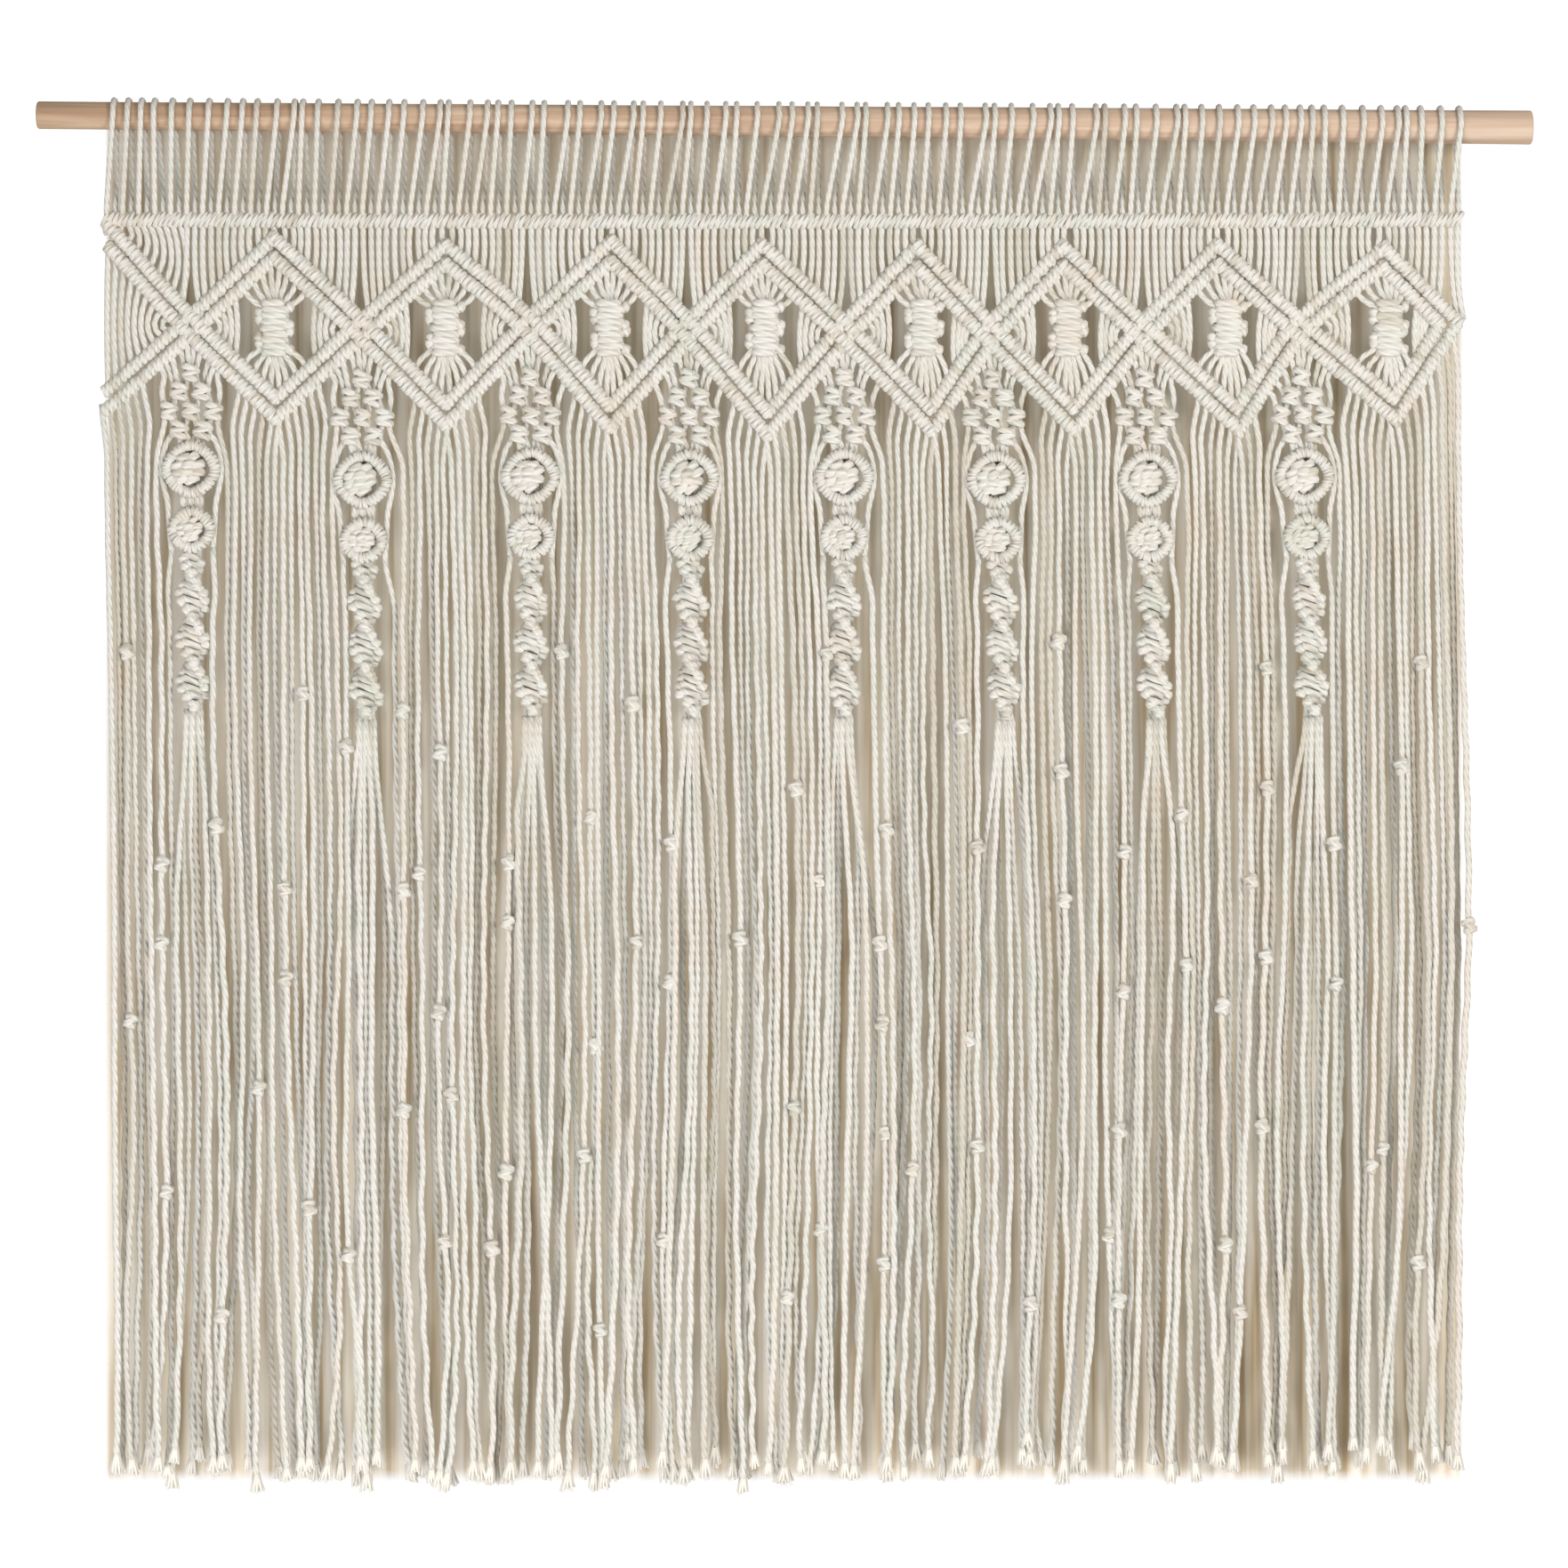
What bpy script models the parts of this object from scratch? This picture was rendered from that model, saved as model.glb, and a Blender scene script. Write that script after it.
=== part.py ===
"""A macrame wall hanging: cotton strands looped over a wooden rod and knotted into a row of diamonds.

Run with: blender --background --python part.py
Lengths below are in millimetres. +X is to the right as seen from the front, -Y is towards the viewer
and +Z is up. The origin is the middle of the rod's axis, and the net hangs in the plane under it.
"""

import math
import random

import bmesh
import bpy
from mathutils import Matrix

MM = 0.001  # metres in a millimetre
GAP = 0.3  # clearance between two solids that would touch

# The rod, a stick that is a little thicker at its right end.
ROD_LENGTH = 840.0
ROD_LEFT_RADIUS = 7.7
ROD_RIGHT_RADIUS = 9.5
ROD_DROP = 7.0  # how much lower its right end hangs
ROD_SIDES = 24
ROD_EDGE = 0.8  # the rounding of its two ends

# The strands. Each loop over the rod gives two of them.
STRAND_RADIUS = 2.4  # corner radius of the three-sided stand-in for a round strand
LOOPS = 72
STRANDS = 2 * LOOPS
NET_LEFT = -383.5
NET_RIGHT = 381.5
PITCH = (NET_RIGHT - NET_LEFT) / STRANDS
LOOP_LEAN = 6.0  # how far right of its foot a loop crosses the rod, in the middle of the net
LOOP_UNEVEN = 1.6
LOOP_TURN = 75.0  # degrees between the bends of a loop over the rod

# The band, a row of hitches over a holding strand.
BAND_Z = -56.0
BAND_HEIGHT = 10.5
BAND_DEPTH = 8.0
BAND_RIDGES = 22

# The diagonal bars: each is a double row of hitches that runs through a crossing.
BAR_WIDTH = 16.0
BAR_CREST = 4.6  # how far in front of the net's plane its two rows reach
BAR_GROOVE = 1.8  # how far the dip between the two rows lies below their crests
BAR_BACK = 3.8
BAR_RIDGES = 2  # raised wraps along one side of a diamond
BAR_OVERRUN = 5.0  # how far a bar runs on past the corner where it meets the next one
RIDGE_RISE = 0.12  # share by which a ridge is bigger than the hollow beside it
TOP_Z = -71.0
CROSSING_Z = -117.5
BOTTOM_Z = -170.5
LEFT_EDGE_TOP_Z = -64.0
LEFT_EDGE_BOTTOM_Z = -161.0

# What cuts the net in two along the middle of its lower bars, and cuts its openings.
PARTING = 0.6  # height of the gap between net and fringe, about 0.4 mm across the slanting bars
CUTTER_DEPTH = 60.0
CUTTER_MARGIN = 60.0
CUTTER_TOP = 60.0
CUTTER_BOTTOM = -300.0

# The web of close strands between the band and the bars.
WEB_THICKNESS = 2.8
WEB_RIDGE = 1.3
WEB_RIDGES = 28

# A row for each diamond: its left, top and bottom corners along X.
DIAMONDS = (
    {"left": -334.0, "top": -287.0, "bottom": -286.0},
    {"left": -238.0, "top": -190.5, "bottom": -190.5},
    {"left": -143.0, "top": -97.5, "bottom": -98.5},
    {"left": -54.0, "top": -12.5, "bottom": -9.5},
    {"left": 34.0, "top": 74.5, "bottom": 82.5},
    {"left": 116.0, "top": 156.5, "bottom": 162.5},
    {"left": 201.5, "top": 243.5, "bottom": 255.0},
    {"left": 289.5, "top": 336.5, "bottom": 343.0},
)
RIGHT_CORNER = 377.5  # the last diamond's right corner, at the net's edge

# The square knots in the middle of each diamond, and the opening on either side of them.
SENNIT_Z = -120.5
SENNIT_WIDTH = 19.0
SENNIT_HEIGHT = 34.0
SENNIT_DEPTH = 11.0
SENNIT_RIDGES = 3
OPENING_WIDTH = 9.5
OPENING_HEIGHT = 30.0
OPENING_TAPER = 0.7  # its outer side's height as a share of its inner side's

# A pendant hangs from each crossing: a narrow net of square knots, two round ones and a twisted chain.
# A row for each height: how wide the narrow net is there.
PENDANT_ROWS = (
    {"z": -124.0, "width": 10.0},
    {"z": -142.5, "width": 14.0},
    {"z": -153.5, "width": 25.0},
    {"z": -165.0, "width": 17.0},
    {"z": -176.0, "width": 26.0},
    {"z": -187.0, "width": 12.0},
)
PENDANT_FLATNESS = 0.42
WHEELS = ({"z": -199.0, "radius": 15.8}, {"z": -231.0, "radius": 13.0})
WHEEL_STRETCH = 1.2  # a round knot is a little taller than wide, with points where its strands come and go
WHEEL_SIDES = 8
WHEEL_Y = -2.0
# A row for each bend of a round knot's profile: its share of the radius, and how far forward it is.
WHEEL_ROWS = (
    {"radius": 0.0, "forward": 5.6},
    {"radius": 0.42, "forward": 1.6},
    {"radius": 0.76, "forward": 5.0},
    {"radius": 1.0, "forward": 0.2},
    {"radius": 0.0, "forward": -3.8},
)
CHAIN_TOP = -242.0
CHAIN_BOTTOM = -336.0
CHAIN_WIDTH = 19.0
CHAIN_FLATNESS = 0.62
CHAIN_END = 1.25  # how much wider the chain's last knot is
CHAIN_HALF_TURNS = 4
CHAIN_STEPS = 12
CHAIN_SHIFTS = (2.0, 3.0, 1.0, 2.0, -1.0, 8.0, 7.5, 7.5)  # how far right of its crossing each chain ends
LOCKS = 6  # strands that leave a chain
LOCK_SPACE = 2.4
LOCK_DEPTH = 3.8

# The fringe. A row for each share of a strand's length below its root: the fringe's edges there, how far
# a strand may have wandered sideways, and how far its layer lies from the middle one.
FRINGE_ROWS = (
    {"share": 0.10, "left": -383.0, "right": 382.0, "drift": 0.8, "layer": 4.4},
    {"share": 0.55, "left": -378.5, "right": 387.0, "drift": 3.0, "layer": 4.7},
    {"share": 1.00, "left": -377.0, "right": 380.0, "drift": 4.4, "layer": 5.8},
)
LAYERS = 3
ROOT_DEPTH = 4.0  # how far below the middle of a bar a strand is rooted
ROOT_INSET = 3.0  # how far inside the net's edges the outermost strands are rooted
SAME_LAYER_SPACE = 6.0  # the least distance between two strands of one layer
TIPS = ((-384.0, -759.0), (-250.0, -764.0), (0.0, -760.0), (390.0, -753.0))
TIP_UNEVEN = 5.5
TIP_FLARE = 1.35
PENDANT_HALF = 4  # strands on either side of a pendant's middle that are knotted into it
KNOT_EVERY = 2  # one front strand in this many has an overhand knot
KNOT_SWELL = 1.9
KNOT_LENGTH = 9.0
KNOT_FORWARD = 2.2
KNOT_TOP = -300.0
KNOT_BOTTOM = -660.0


def clear_scene():
    for thing in list(bpy.data.objects):
        bpy.data.objects.remove(thing, do_unlink=True)


def new_collection(name, hidden=False):
    collection = bpy.data.collections.new(name)
    bpy.context.scene.collection.children.link(collection)
    collection.hide_render = hidden
    return collection


def new_material(name, colour, roughness):
    material = bpy.data.materials.new(name)
    material.use_nodes = True
    shader = material.node_tree.nodes["Principled BSDF"]
    shader.inputs["Base Color"].default_value = (*colour, 1.0)
    shader.inputs["Roughness"].default_value = roughness
    return material


def add_guide(name, data, collection):
    """An object that only helps to make the parts."""
    guide = bpy.data.objects.new(name, data)
    collection.objects.link(guide)
    guide.hide_render = True
    guide.display_type = "WIRE"
    return guide


def crossings():
    return [row["left"] for row in DIAMONDS] + [RIGHT_CORNER]


def lower_line():
    """The middle of the lower bars from edge to edge, as (x, z) corners."""
    corners = [(NET_LEFT + 2.0, LEFT_EDGE_BOTTOM_Z)]
    for row in DIAMONDS:
        corners.append((row["left"], CROSSING_Z))
        corners.append((row["bottom"], BOTTOM_Z))
    corners.append((RIGHT_CORNER, CROSSING_Z))
    return corners


def height_on(line, x):
    """The height at x of a line of (x, z) corners, level past its ends."""
    for (x0, z0), (x1, z1) in zip(line, line[1:]):
        if x0 <= x <= x1:
            return z0 + (z1 - z0) * (x - x0) / (x1 - x0)
    return line[0][1] if x < line[0][0] else line[-1][1]


def meshed(name, curve, guides):
    """The curve as a closed mesh object in its place."""
    bpy.context.view_layer.update()
    graph = bpy.context.evaluated_depsgraph_get()
    mesh = bpy.data.meshes.new_from_object(curve.evaluated_get(graph))
    shape = bmesh.new()
    shape.from_mesh(mesh)
    bmesh.ops.remove_doubles(shape, verts=shape.verts, dist=0.00001)
    bmesh.ops.recalc_face_normals(shape, faces=shape.faces)
    shape.to_mesh(mesh)
    shape.free()
    thing = add_guide(name, mesh, guides)
    thing.matrix_world = curve.matrix_world
    bpy.data.objects.remove(curve)
    return thing


def outline_curve(name, points, guides):
    """A closed flat outline, from (x, y) pairs, that is swept along a path."""
    data = bpy.data.curves.new(name, "CURVE")
    spline = data.splines.new("POLY")
    spline.points.add(len(points) - 1)
    for point, (x, y) in zip(spline.points, points):
        point.co = (x * MM, y * MM, 0.0, 1.0)
    spline.use_cyclic_u = True
    return add_guide(name, data, guides)


def swept(name, paths, outline, guides, upright=False, turn=0.0):
    """A mesh of closed tubes, one for each path of (x, y, z, width share) points.

    With upright set, the outline's second axis stays as near to +Z as its path lets it. Each point
    turns the outline on by the given angle.
    """
    data = bpy.data.curves.new(name, "CURVE")
    data.dimensions = "3D"
    data.twist_mode = "Z_UP" if upright else "MINIMUM"
    data.bevel_mode = "OBJECT"
    data.bevel_object = outline
    data.use_fill_caps = True
    for path in paths:
        spline = data.splines.new("POLY")
        spline.points.add(len(path) - 1)
        for step, (point, (x, y, z, width)) in enumerate(zip(spline.points, path)):
            point.co = (x * MM, y * MM, z * MM, 1.0)
            point.radius = width
            point.tilt = turn * step
    return meshed(name, add_guide(name + "_paths", data, guides), guides)


def ridged(start, end, ridges):
    """The points of a straight bar from start to end, (x, z) pairs, with a swelling for each ridge."""
    steps = 2 * ridges
    points = []
    for step in range(steps + 1):
        share = step / steps
        swelling = 1.0 + RIDGE_RISE * (step % 2)
        x = start[0] + (end[0] - start[0]) * share
        z = start[1] + (end[1] - start[1]) * share
        points.append((x, 0.0, z, swelling))
    return points


def rhombus(width, height):
    return [(-width / 2, 0.0), (0.0, -height / 2), (width / 2, 0.0), (0.0, height / 2)]


def band_outline():
    """A six-cornered outline, as (depth, height) pairs."""
    half = BAND_HEIGHT / 2
    face = BAND_DEPTH / 2
    front = [(0.0, -half), (-face, -half / 2), (-face, half / 2)]
    back = [(0.0, half), (face, half / 2), (face, -half / 2)]
    return front + back


def bar_outline():
    """Two rounded rows side by side, raised at the front, as (depth, height) pairs."""
    half = BAR_WIDTH / 2
    return [
        (0.0, -half),
        (-BAR_CREST, -half / 2),
        (-BAR_CREST + BAR_GROOVE, 0.0),
        (-BAR_CREST, half / 2),
        (0.0, half),
        (BAR_BACK, 0.0),
    ]


def strand_outline():
    """A triangle that stands for a strand's round section."""
    corners = []
    for corner in range(3):
        angle = 2 * math.pi * corner / 3
        corners.append((STRAND_RADIUS * math.cos(angle), STRAND_RADIUS * math.sin(angle)))
    return corners


def strand_x(index):
    return NET_LEFT + (index + 0.5) * PITCH


def rod_radius(x):
    share = (x + ROD_LENGTH / 2) / ROD_LENGTH
    return ROD_LEFT_RADIUS + (ROD_RIGHT_RADIUS - ROD_LEFT_RADIUS) * share


def rod_z(x):
    return -ROD_DROP * x / ROD_LENGTH


def loop_paths():
    """A strand goes up from the band, over the rod and down behind it, and leans to the right."""
    chance = random.Random(3)
    paths = []
    for loop in range(LOOPS):
        front_x = strand_x(2 * loop)
        back_x = strand_x(2 * loop + 1)
        across = (front_x - NET_LEFT) / (NET_RIGHT - NET_LEFT)
        lean = LOOP_LEAN * math.sin(math.pi * across) + chance.uniform(-LOOP_UNEVEN, LOOP_UNEVEN)
        rod_x = (front_x + back_x) / 2 + lean
        reach = (rod_radius(rod_x) + GAP + STRAND_RADIUS) / math.cos(math.radians(LOOP_TURN / 2))
        path = [(front_x, -STRAND_RADIUS, BAND_Z, 1.0)]
        for degrees in (90 + LOOP_TURN, 90, 90 - LOOP_TURN):
            angle = math.radians(degrees)
            z = rod_z(rod_x) + reach * math.sin(angle)
            path.append((rod_x, reach * math.cos(angle), z, 1.0))
        path.append((back_x, STRAND_RADIUS, BAND_Z, 1.0))
        paths.append(path)
    return paths


def diagonal_paths(direction):
    """The bars that run down to the right (1) or to the left (-1), each bent a little at its crossing.

    All are given from right to left, so that the outline's front faces the same way in both.
    """
    corners = crossings()
    tops = [row["top"] for row in DIAMONDS]
    bottoms = [row["bottom"] for row in DIAMONDS]
    edge = NET_LEFT + 2.0
    paths = []
    for number, crossing in enumerate(corners):
        left_top = (tops[number - 1], TOP_Z) if number else (edge, LEFT_EDGE_TOP_Z)
        left_bottom = (bottoms[number - 1], BOTTOM_Z) if number else (edge, LEFT_EDGE_BOTTOM_Z)
        last = number == len(DIAMONDS)
        if direction > 0:
            start = left_top
            end = None if last else (bottoms[number], BOTTOM_Z)
        else:
            start = None if last else (tops[number], TOP_Z)
            end = left_bottom
        middle = (crossing, CROSSING_Z)
        path = []
        if start:
            path += ridged(run_on(start, middle), middle, BAR_RIDGES)
        if end:
            path += ridged(middle, run_on(end, middle), BAR_RIDGES)[1 if start else 0 :]
        paths.append(path[::-1] if direction > 0 else path)
    return paths


def run_on(end, other):
    """The end moved away from the other end by the bar's overrun."""
    length = math.dist(end, other)
    share = BAR_OVERRUN / length
    return (end[0] + (end[0] - other[0]) * share, end[1] + (end[1] - other[1]) * share)


def extruded(name, outline, depth, place, tilt, guides):
    """A flat outline given half its depth on either side, tilted about X and then moved to its place."""
    data = bpy.data.curves.new(name, "CURVE")
    data.dimensions = "2D"
    data.fill_mode = "BOTH"
    data.extrude = depth / 2 * MM
    spline = data.splines.new("POLY")
    spline.points.add(len(outline) - 1)
    for point, (x, y) in zip(spline.points, outline):
        point.co = (x * MM, y * MM, 0.0, 1.0)
    spline.use_cyclic_u = True
    curve = add_guide(name + "_outline", data, guides)
    curve.rotation_euler = (tilt, 0.0, 0.0)
    curve.location = [value * MM for value in place]
    return meshed(name, curve, guides)


def upright_slab(name, outline, guides):
    """A flat (x, z) outline in the net's plane, thick enough to cut right through the net."""
    return extruded(name, outline, CUTTER_DEPTH, (0.0, 0.0, 0.0), math.pi / 2, guides)


def build_web(guides):
    """The close strands of the upper net as one sheet with upright ridges on its front."""
    step = (NET_RIGHT - NET_LEFT) / WEB_RIDGES
    face = WEB_THICKNESS / 2
    outline = []
    for ridge in range(WEB_RIDGES):
        start = NET_LEFT + step * ridge
        outline.append((start, -face))
        outline.append((start + step / 2, -face - WEB_RIDGE))
    outline += [(NET_RIGHT, -face), (NET_RIGHT, face), (NET_LEFT, face)]
    bottom = BOTTOM_Z - BAR_WIDTH / 2
    return extruded("web", outline, BAND_Z - bottom, (0.0, 0.0, (BAND_Z + bottom) / 2), 0.0, guides)


def diamond_middle(number):
    row = DIAMONDS[number]
    return (row["top"] + row["bottom"]) / 2


def sennit_paths():
    top = SENNIT_Z + SENNIT_HEIGHT / 2
    bottom = SENNIT_Z - SENNIT_HEIGHT / 2
    middles = [diamond_middle(number) for number in range(len(DIAMONDS))]
    return [ridged((x, top), (x, bottom), SENNIT_RIDGES) for x in middles]


def opening_cutters(cutters):
    """A hole on either side of each sennit, lower at its outer side."""
    holes = []
    inner = OPENING_HEIGHT / 2
    outer = inner * OPENING_TAPER
    for number in range(len(DIAMONDS)):
        for side, word in ((-1, "left"), (1, "right")):
            near = diamond_middle(number) + side * (SENNIT_WIDTH / 2 + GAP)
            far = near + side * OPENING_WIDTH
            outline = [
                (near, SENNIT_Z + inner),
                (far, SENNIT_Z + outer),
                (far, SENNIT_Z - outer),
                (near, SENNIT_Z - inner),
            ]
            holes.append(upright_slab(f"opening_{number + 1}_{word}", outline, cutters))
    return holes


def parting_cutter(name, shift, far_z, cutters):
    """All that lies between the parting line, moved up by the shift, and the far height."""
    edge = [(x, z + shift) for x, z in lower_line()]
    left = NET_LEFT - CUTTER_MARGIN
    right = NET_RIGHT + CUTTER_MARGIN
    outline = [(left, edge[0][1]), *edge, (right, edge[-1][1]), (right, far_z), (left, far_z)]
    return upright_slab(name, outline, cutters)


def pendant_x(number, z):
    """The middle of a pendant at a height: it drifts a little to one side on its way down."""
    share = (CROSSING_Z - z) / (CROSSING_Z - CHAIN_BOTTOM)
    return DIAMONDS[number]["left"] + CHAIN_SHIFTS[number] * share


def pendant_paths():
    paths = []
    for number in range(len(DIAMONDS)):
        path = []
        for row in PENDANT_ROWS:
            path.append((pendant_x(number, row["z"]), 0.0, row["z"], row["width"]))
        paths.append(path)
    return paths


def chain_paths():
    paths = []
    for number in range(len(DIAMONDS)):
        path = []
        for step in range(CHAIN_STEPS + 1):
            z = CHAIN_TOP + (CHAIN_BOTTOM - CHAIN_TOP) * step / CHAIN_STEPS
            width = CHAIN_WIDTH * (CHAIN_END if step == CHAIN_STEPS else 1.0)
            path.append((pendant_x(number, z), 0.0, z, width))
        paths.append(path)
    return paths


def build_wheel(name, x, z, radius, guides):
    """A round knot: a raised middle, a hollow around it and a ridged rim."""
    points = [(radius * row["radius"] * MM, 0.0, row["forward"] * MM) for row in WHEEL_ROWS]
    edges = [(index, index + 1) for index in range(len(points) - 1)]
    data = bpy.data.meshes.new(name)
    data.from_pydata(points, edges, [])
    wheel = add_guide(name, data, guides)
    screw = wheel.modifiers.new("turn", "SCREW")
    screw.steps = WHEEL_SIDES
    screw.render_steps = WHEEL_SIDES
    screw.use_merge_vertices = True
    screw.merge_threshold = 0.00005
    wheel.rotation_euler = (math.pi / 2, 0.0, 0.0)
    wheel.scale.y = WHEEL_STRETCH
    wheel.location = (x * MM, WHEEL_Y * MM, z * MM)
    return wheel


def build_wheels(guides):
    wheels = []
    for number in range(len(DIAMONDS)):
        for order, row in enumerate(WHEELS):
            name = f"wheel_{number + 1}_{order + 1}"
            wheels.append(build_wheel(name, pendant_x(number, row["z"]), row["z"], row["radius"], guides))
    return wheels


def layer_of(order):
    """Which layer a strand hangs in: -1 at the front, 0 or 1 at the back."""
    return order % LAYERS - 1


def strand_roots():
    """Where each hanging strand starts: its place across the fringe and its first point."""
    line = lower_line()
    pendants = [pendant_x(number, WHEELS[0]["z"]) for number in range(len(DIAMONDS))]
    firsts = [round((x - NET_LEFT) / PITCH) - PENDANT_HALF for x in pendants]
    roots = []
    index = 0
    while index < STRANDS:
        if index in firsts:
            number = firsts.index(index)
            z = CHAIN_BOTTOM + ROOT_DEPTH / 2
            for lock in range(LOCKS):
                place = index + (lock + 0.5) * 2 * PENDANT_HALF / LOCKS - 0.5
                x = pendant_x(number, z) + (lock - (LOCKS - 1) / 2) * LOCK_SPACE
                roots.append((place, x, layer_of(len(roots)) * LOCK_DEPTH, z))
            index += 2 * PENDANT_HALF
        else:
            x = min(max(strand_x(index), NET_LEFT + ROOT_INSET), NET_RIGHT - 2 * ROOT_INSET)
            roots.append((index, x, 0.0, height_on(line, x) - ROOT_DEPTH))
            index += 1
    return roots


def fringe_paths():
    """The hanging strands, kept apart from their neighbours in the same layer."""
    chance = random.Random(11)
    paths = []
    last_x = {}
    for order, (place, root_x, root_y, root_z) in enumerate(strand_roots()):
        layer = layer_of(order)
        across = (place + 0.5) / STRANDS
        tip_z = height_on(TIPS, strand_x(place)) + chance.uniform(-TIP_UNEVEN, TIP_UNEVEN)
        path = [(root_x, root_y, root_z, 1.0)]
        for row in FRINGE_ROWS:
            x = row["left"] + (row["right"] - row["left"]) * across
            x += chance.uniform(-row["drift"], row["drift"])
            beside = last_x.get((layer, row["share"]), NET_LEFT - 2 * SAME_LAYER_SPACE)
            x = max(x, beside + SAME_LAYER_SPACE)
            last_x[(layer, row["share"])] = x
            z = root_z + (tip_z - root_z) * row["share"]
            path.append((x, layer * row["layer"], z, TIP_FLARE if row["share"] == 1.0 else 1.0))
        knot_z = chance.uniform(KNOT_BOTTOM, KNOT_TOP)
        knotted = layer == -1 and (order // LAYERS) % KNOT_EVERY == 0
        paths.append(with_knot(path, knot_z) if knotted else path)
    return paths


def with_knot(path, knot_z):
    """The path with three more points where an overhand knot swells the strand, if it has room there."""
    for place, (upper, lower) in enumerate(zip(path, path[1:])):
        if upper[2] - KNOT_LENGTH > knot_z > lower[2] + KNOT_LENGTH:
            points = []
            for side, swell, forward in ((1, 1.0, 0.0), (0, KNOT_SWELL, KNOT_FORWARD), (-1, 1.0, 0.0)):
                z = knot_z + side * KNOT_LENGTH / 2
                share = (upper[2] - z) / (upper[2] - lower[2])
                x = upper[0] + (lower[0] - upper[0]) * share
                y = upper[1] + (lower[1] - upper[1]) * share - forward
                points.append((x, y, z, swell))
            return [*path[: place + 1], *points, *path[place + 1 :]]
    return path


def fuse(base, parts, guides):
    """Joins the parts to the base as one solid."""
    group = bpy.data.collections.new(base.name + "_parts")
    guides.children.link(group)
    for part in parts:
        for owner in list(part.users_collection):
            owner.objects.unlink(part)
        group.objects.link(part)
    union = base.modifiers.new("fuse", "BOOLEAN")
    union.operation = "UNION"
    union.operand_type = "COLLECTION"
    union.collection = group
    union.solver = "MANIFOLD"  # hundreds of strands join here, and the exact solver takes minutes over them


def cut(base, cutters):
    for cutter in cutters:
        modifier = base.modifiers.new("cut " + cutter.name, "BOOLEAN")
        modifier.operation = "DIFFERENCE"
        modifier.object = cutter
        modifier.solver = "MANIFOLD"


def build_rod(collection, material):
    bpy.ops.mesh.primitive_cylinder_add(vertices=ROD_SIDES, radius=MM, depth=ROD_LENGTH * MM)
    rod = bpy.context.active_object
    rod.name = "rod"
    rod.data.name = "rod"
    rod.data.transform(Matrix.Rotation(math.pi / 2, 4, "Y"))
    for vertex in rod.data.vertices:
        x = vertex.co.x / MM
        vertex.co.y *= rod_radius(x)
        vertex.co.z = vertex.co.z * rod_radius(x) + rod_z(x) * MM
    bevel = rod.modifiers.new("rounded ends", "BEVEL")
    bevel.width = ROD_EDGE * MM
    bevel.segments = 1
    bevel.limit_method = "ANGLE"
    bevel.angle_limit = math.radians(60)
    for owner in list(rod.users_collection):
        owner.objects.unlink(rod)
    collection.objects.link(rod)
    rod.data.materials.append(material)
    rod.data.shade_smooth()


def build_net(collection, guides, cutters, strand, bar, material):
    """The loops, the band, the bars above the parting line, the web and the sennits."""
    band_path = ridged((NET_LEFT, BAND_Z), (NET_RIGHT, BAND_Z), BAND_RIDGES)
    band = swept("band", [band_path], outline_curve("band_outline", band_outline(), guides), guides, True)
    sennit_outline = outline_curve("sennit_outline", rhombus(SENNIT_WIDTH, SENNIT_DEPTH), guides)
    web = build_web(guides)
    cut(web, opening_cutters(cutters))
    net = bpy.data.objects.new("net", band.data.copy())
    collection.objects.link(net)
    parts = [
        swept("loops", loop_paths(), strand, guides),
        swept("bars_to_right", diagonal_paths(1), bar, guides, True),
        swept("bars_to_left", diagonal_paths(-1), bar, guides, True),
        web,
        swept("sennits", sennit_paths(), sennit_outline, guides),
    ]
    fuse(net, parts, guides)
    cut(net, [parting_cutter("below_parting", PARTING / 2, CUTTER_BOTTOM, cutters)])
    net.data.materials.append(material)


def build_fringe(collection, guides, cutters, strand, bar, material):
    """The lower half of the lower bars, the pendants and the hanging strands."""
    pendant_outline = outline_curve("pendant_outline", rhombus(PENDANT_FLATNESS, 1.0), guides)
    chain_outline = outline_curve("chain_outline", rhombus(CHAIN_FLATNESS, 1.0), guides)
    strip = swept("strip_to_right", diagonal_paths(1), bar, guides, True)
    fringe = bpy.data.objects.new("fringe", strip.data.copy())
    collection.objects.link(fringe)
    turn = math.pi * CHAIN_HALF_TURNS / CHAIN_STEPS
    parts = [
        swept("strip_to_left", diagonal_paths(-1), bar, guides, True),
        swept("pendants", pendant_paths(), pendant_outline, guides, True),
        swept("chains", chain_paths(), chain_outline, guides, True, turn),
        swept("strands", fringe_paths(), strand, guides),
        *build_wheels(guides),
    ]
    fuse(fringe, parts, guides)
    cut(fringe, [parting_cutter("above_parting", -PARTING / 2, CUTTER_TOP, cutters)])
    fringe.data.materials.append(material)


def main():
    clear_scene()
    collection = new_collection("macrame_wall_hanging")
    guides = new_collection("guides", hidden=True)
    cutters = new_collection("cutters", hidden=True)
    cotton = new_material("cotton", (0.78, 0.75, 0.68), 0.9)
    wood = new_material("wood", (0.60, 0.42, 0.27), 0.6)
    strand = outline_curve("strand_outline", strand_outline(), guides)
    bar = outline_curve("bar_outline", bar_outline(), guides)
    build_rod(collection, wood)
    build_net(collection, guides, cutters, strand, bar, cotton)
    build_fringe(collection, guides, cutters, strand, bar, cotton)


main()
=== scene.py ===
# %% [markdown]
# # A macrame wall hanging
#
# The real thing is one wooden rod and about 85 lengths of twisted cotton cord, 4 mm thick. Each length is
# folded over the rod, and its two legs are knotted into a band, a row of diamonds, eight pendants and a long
# fringe. This lesson builds it the same way: nearly every piece below is the same cord, laid along a path or
# wound round another cord.
#
# Lengths are in millimetres until they reach a mesh. +X is to the right, -Y is towards the viewer and +Z is
# up. The middle of the rod is at the origin.

# %% The frame
import math
import random

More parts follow.
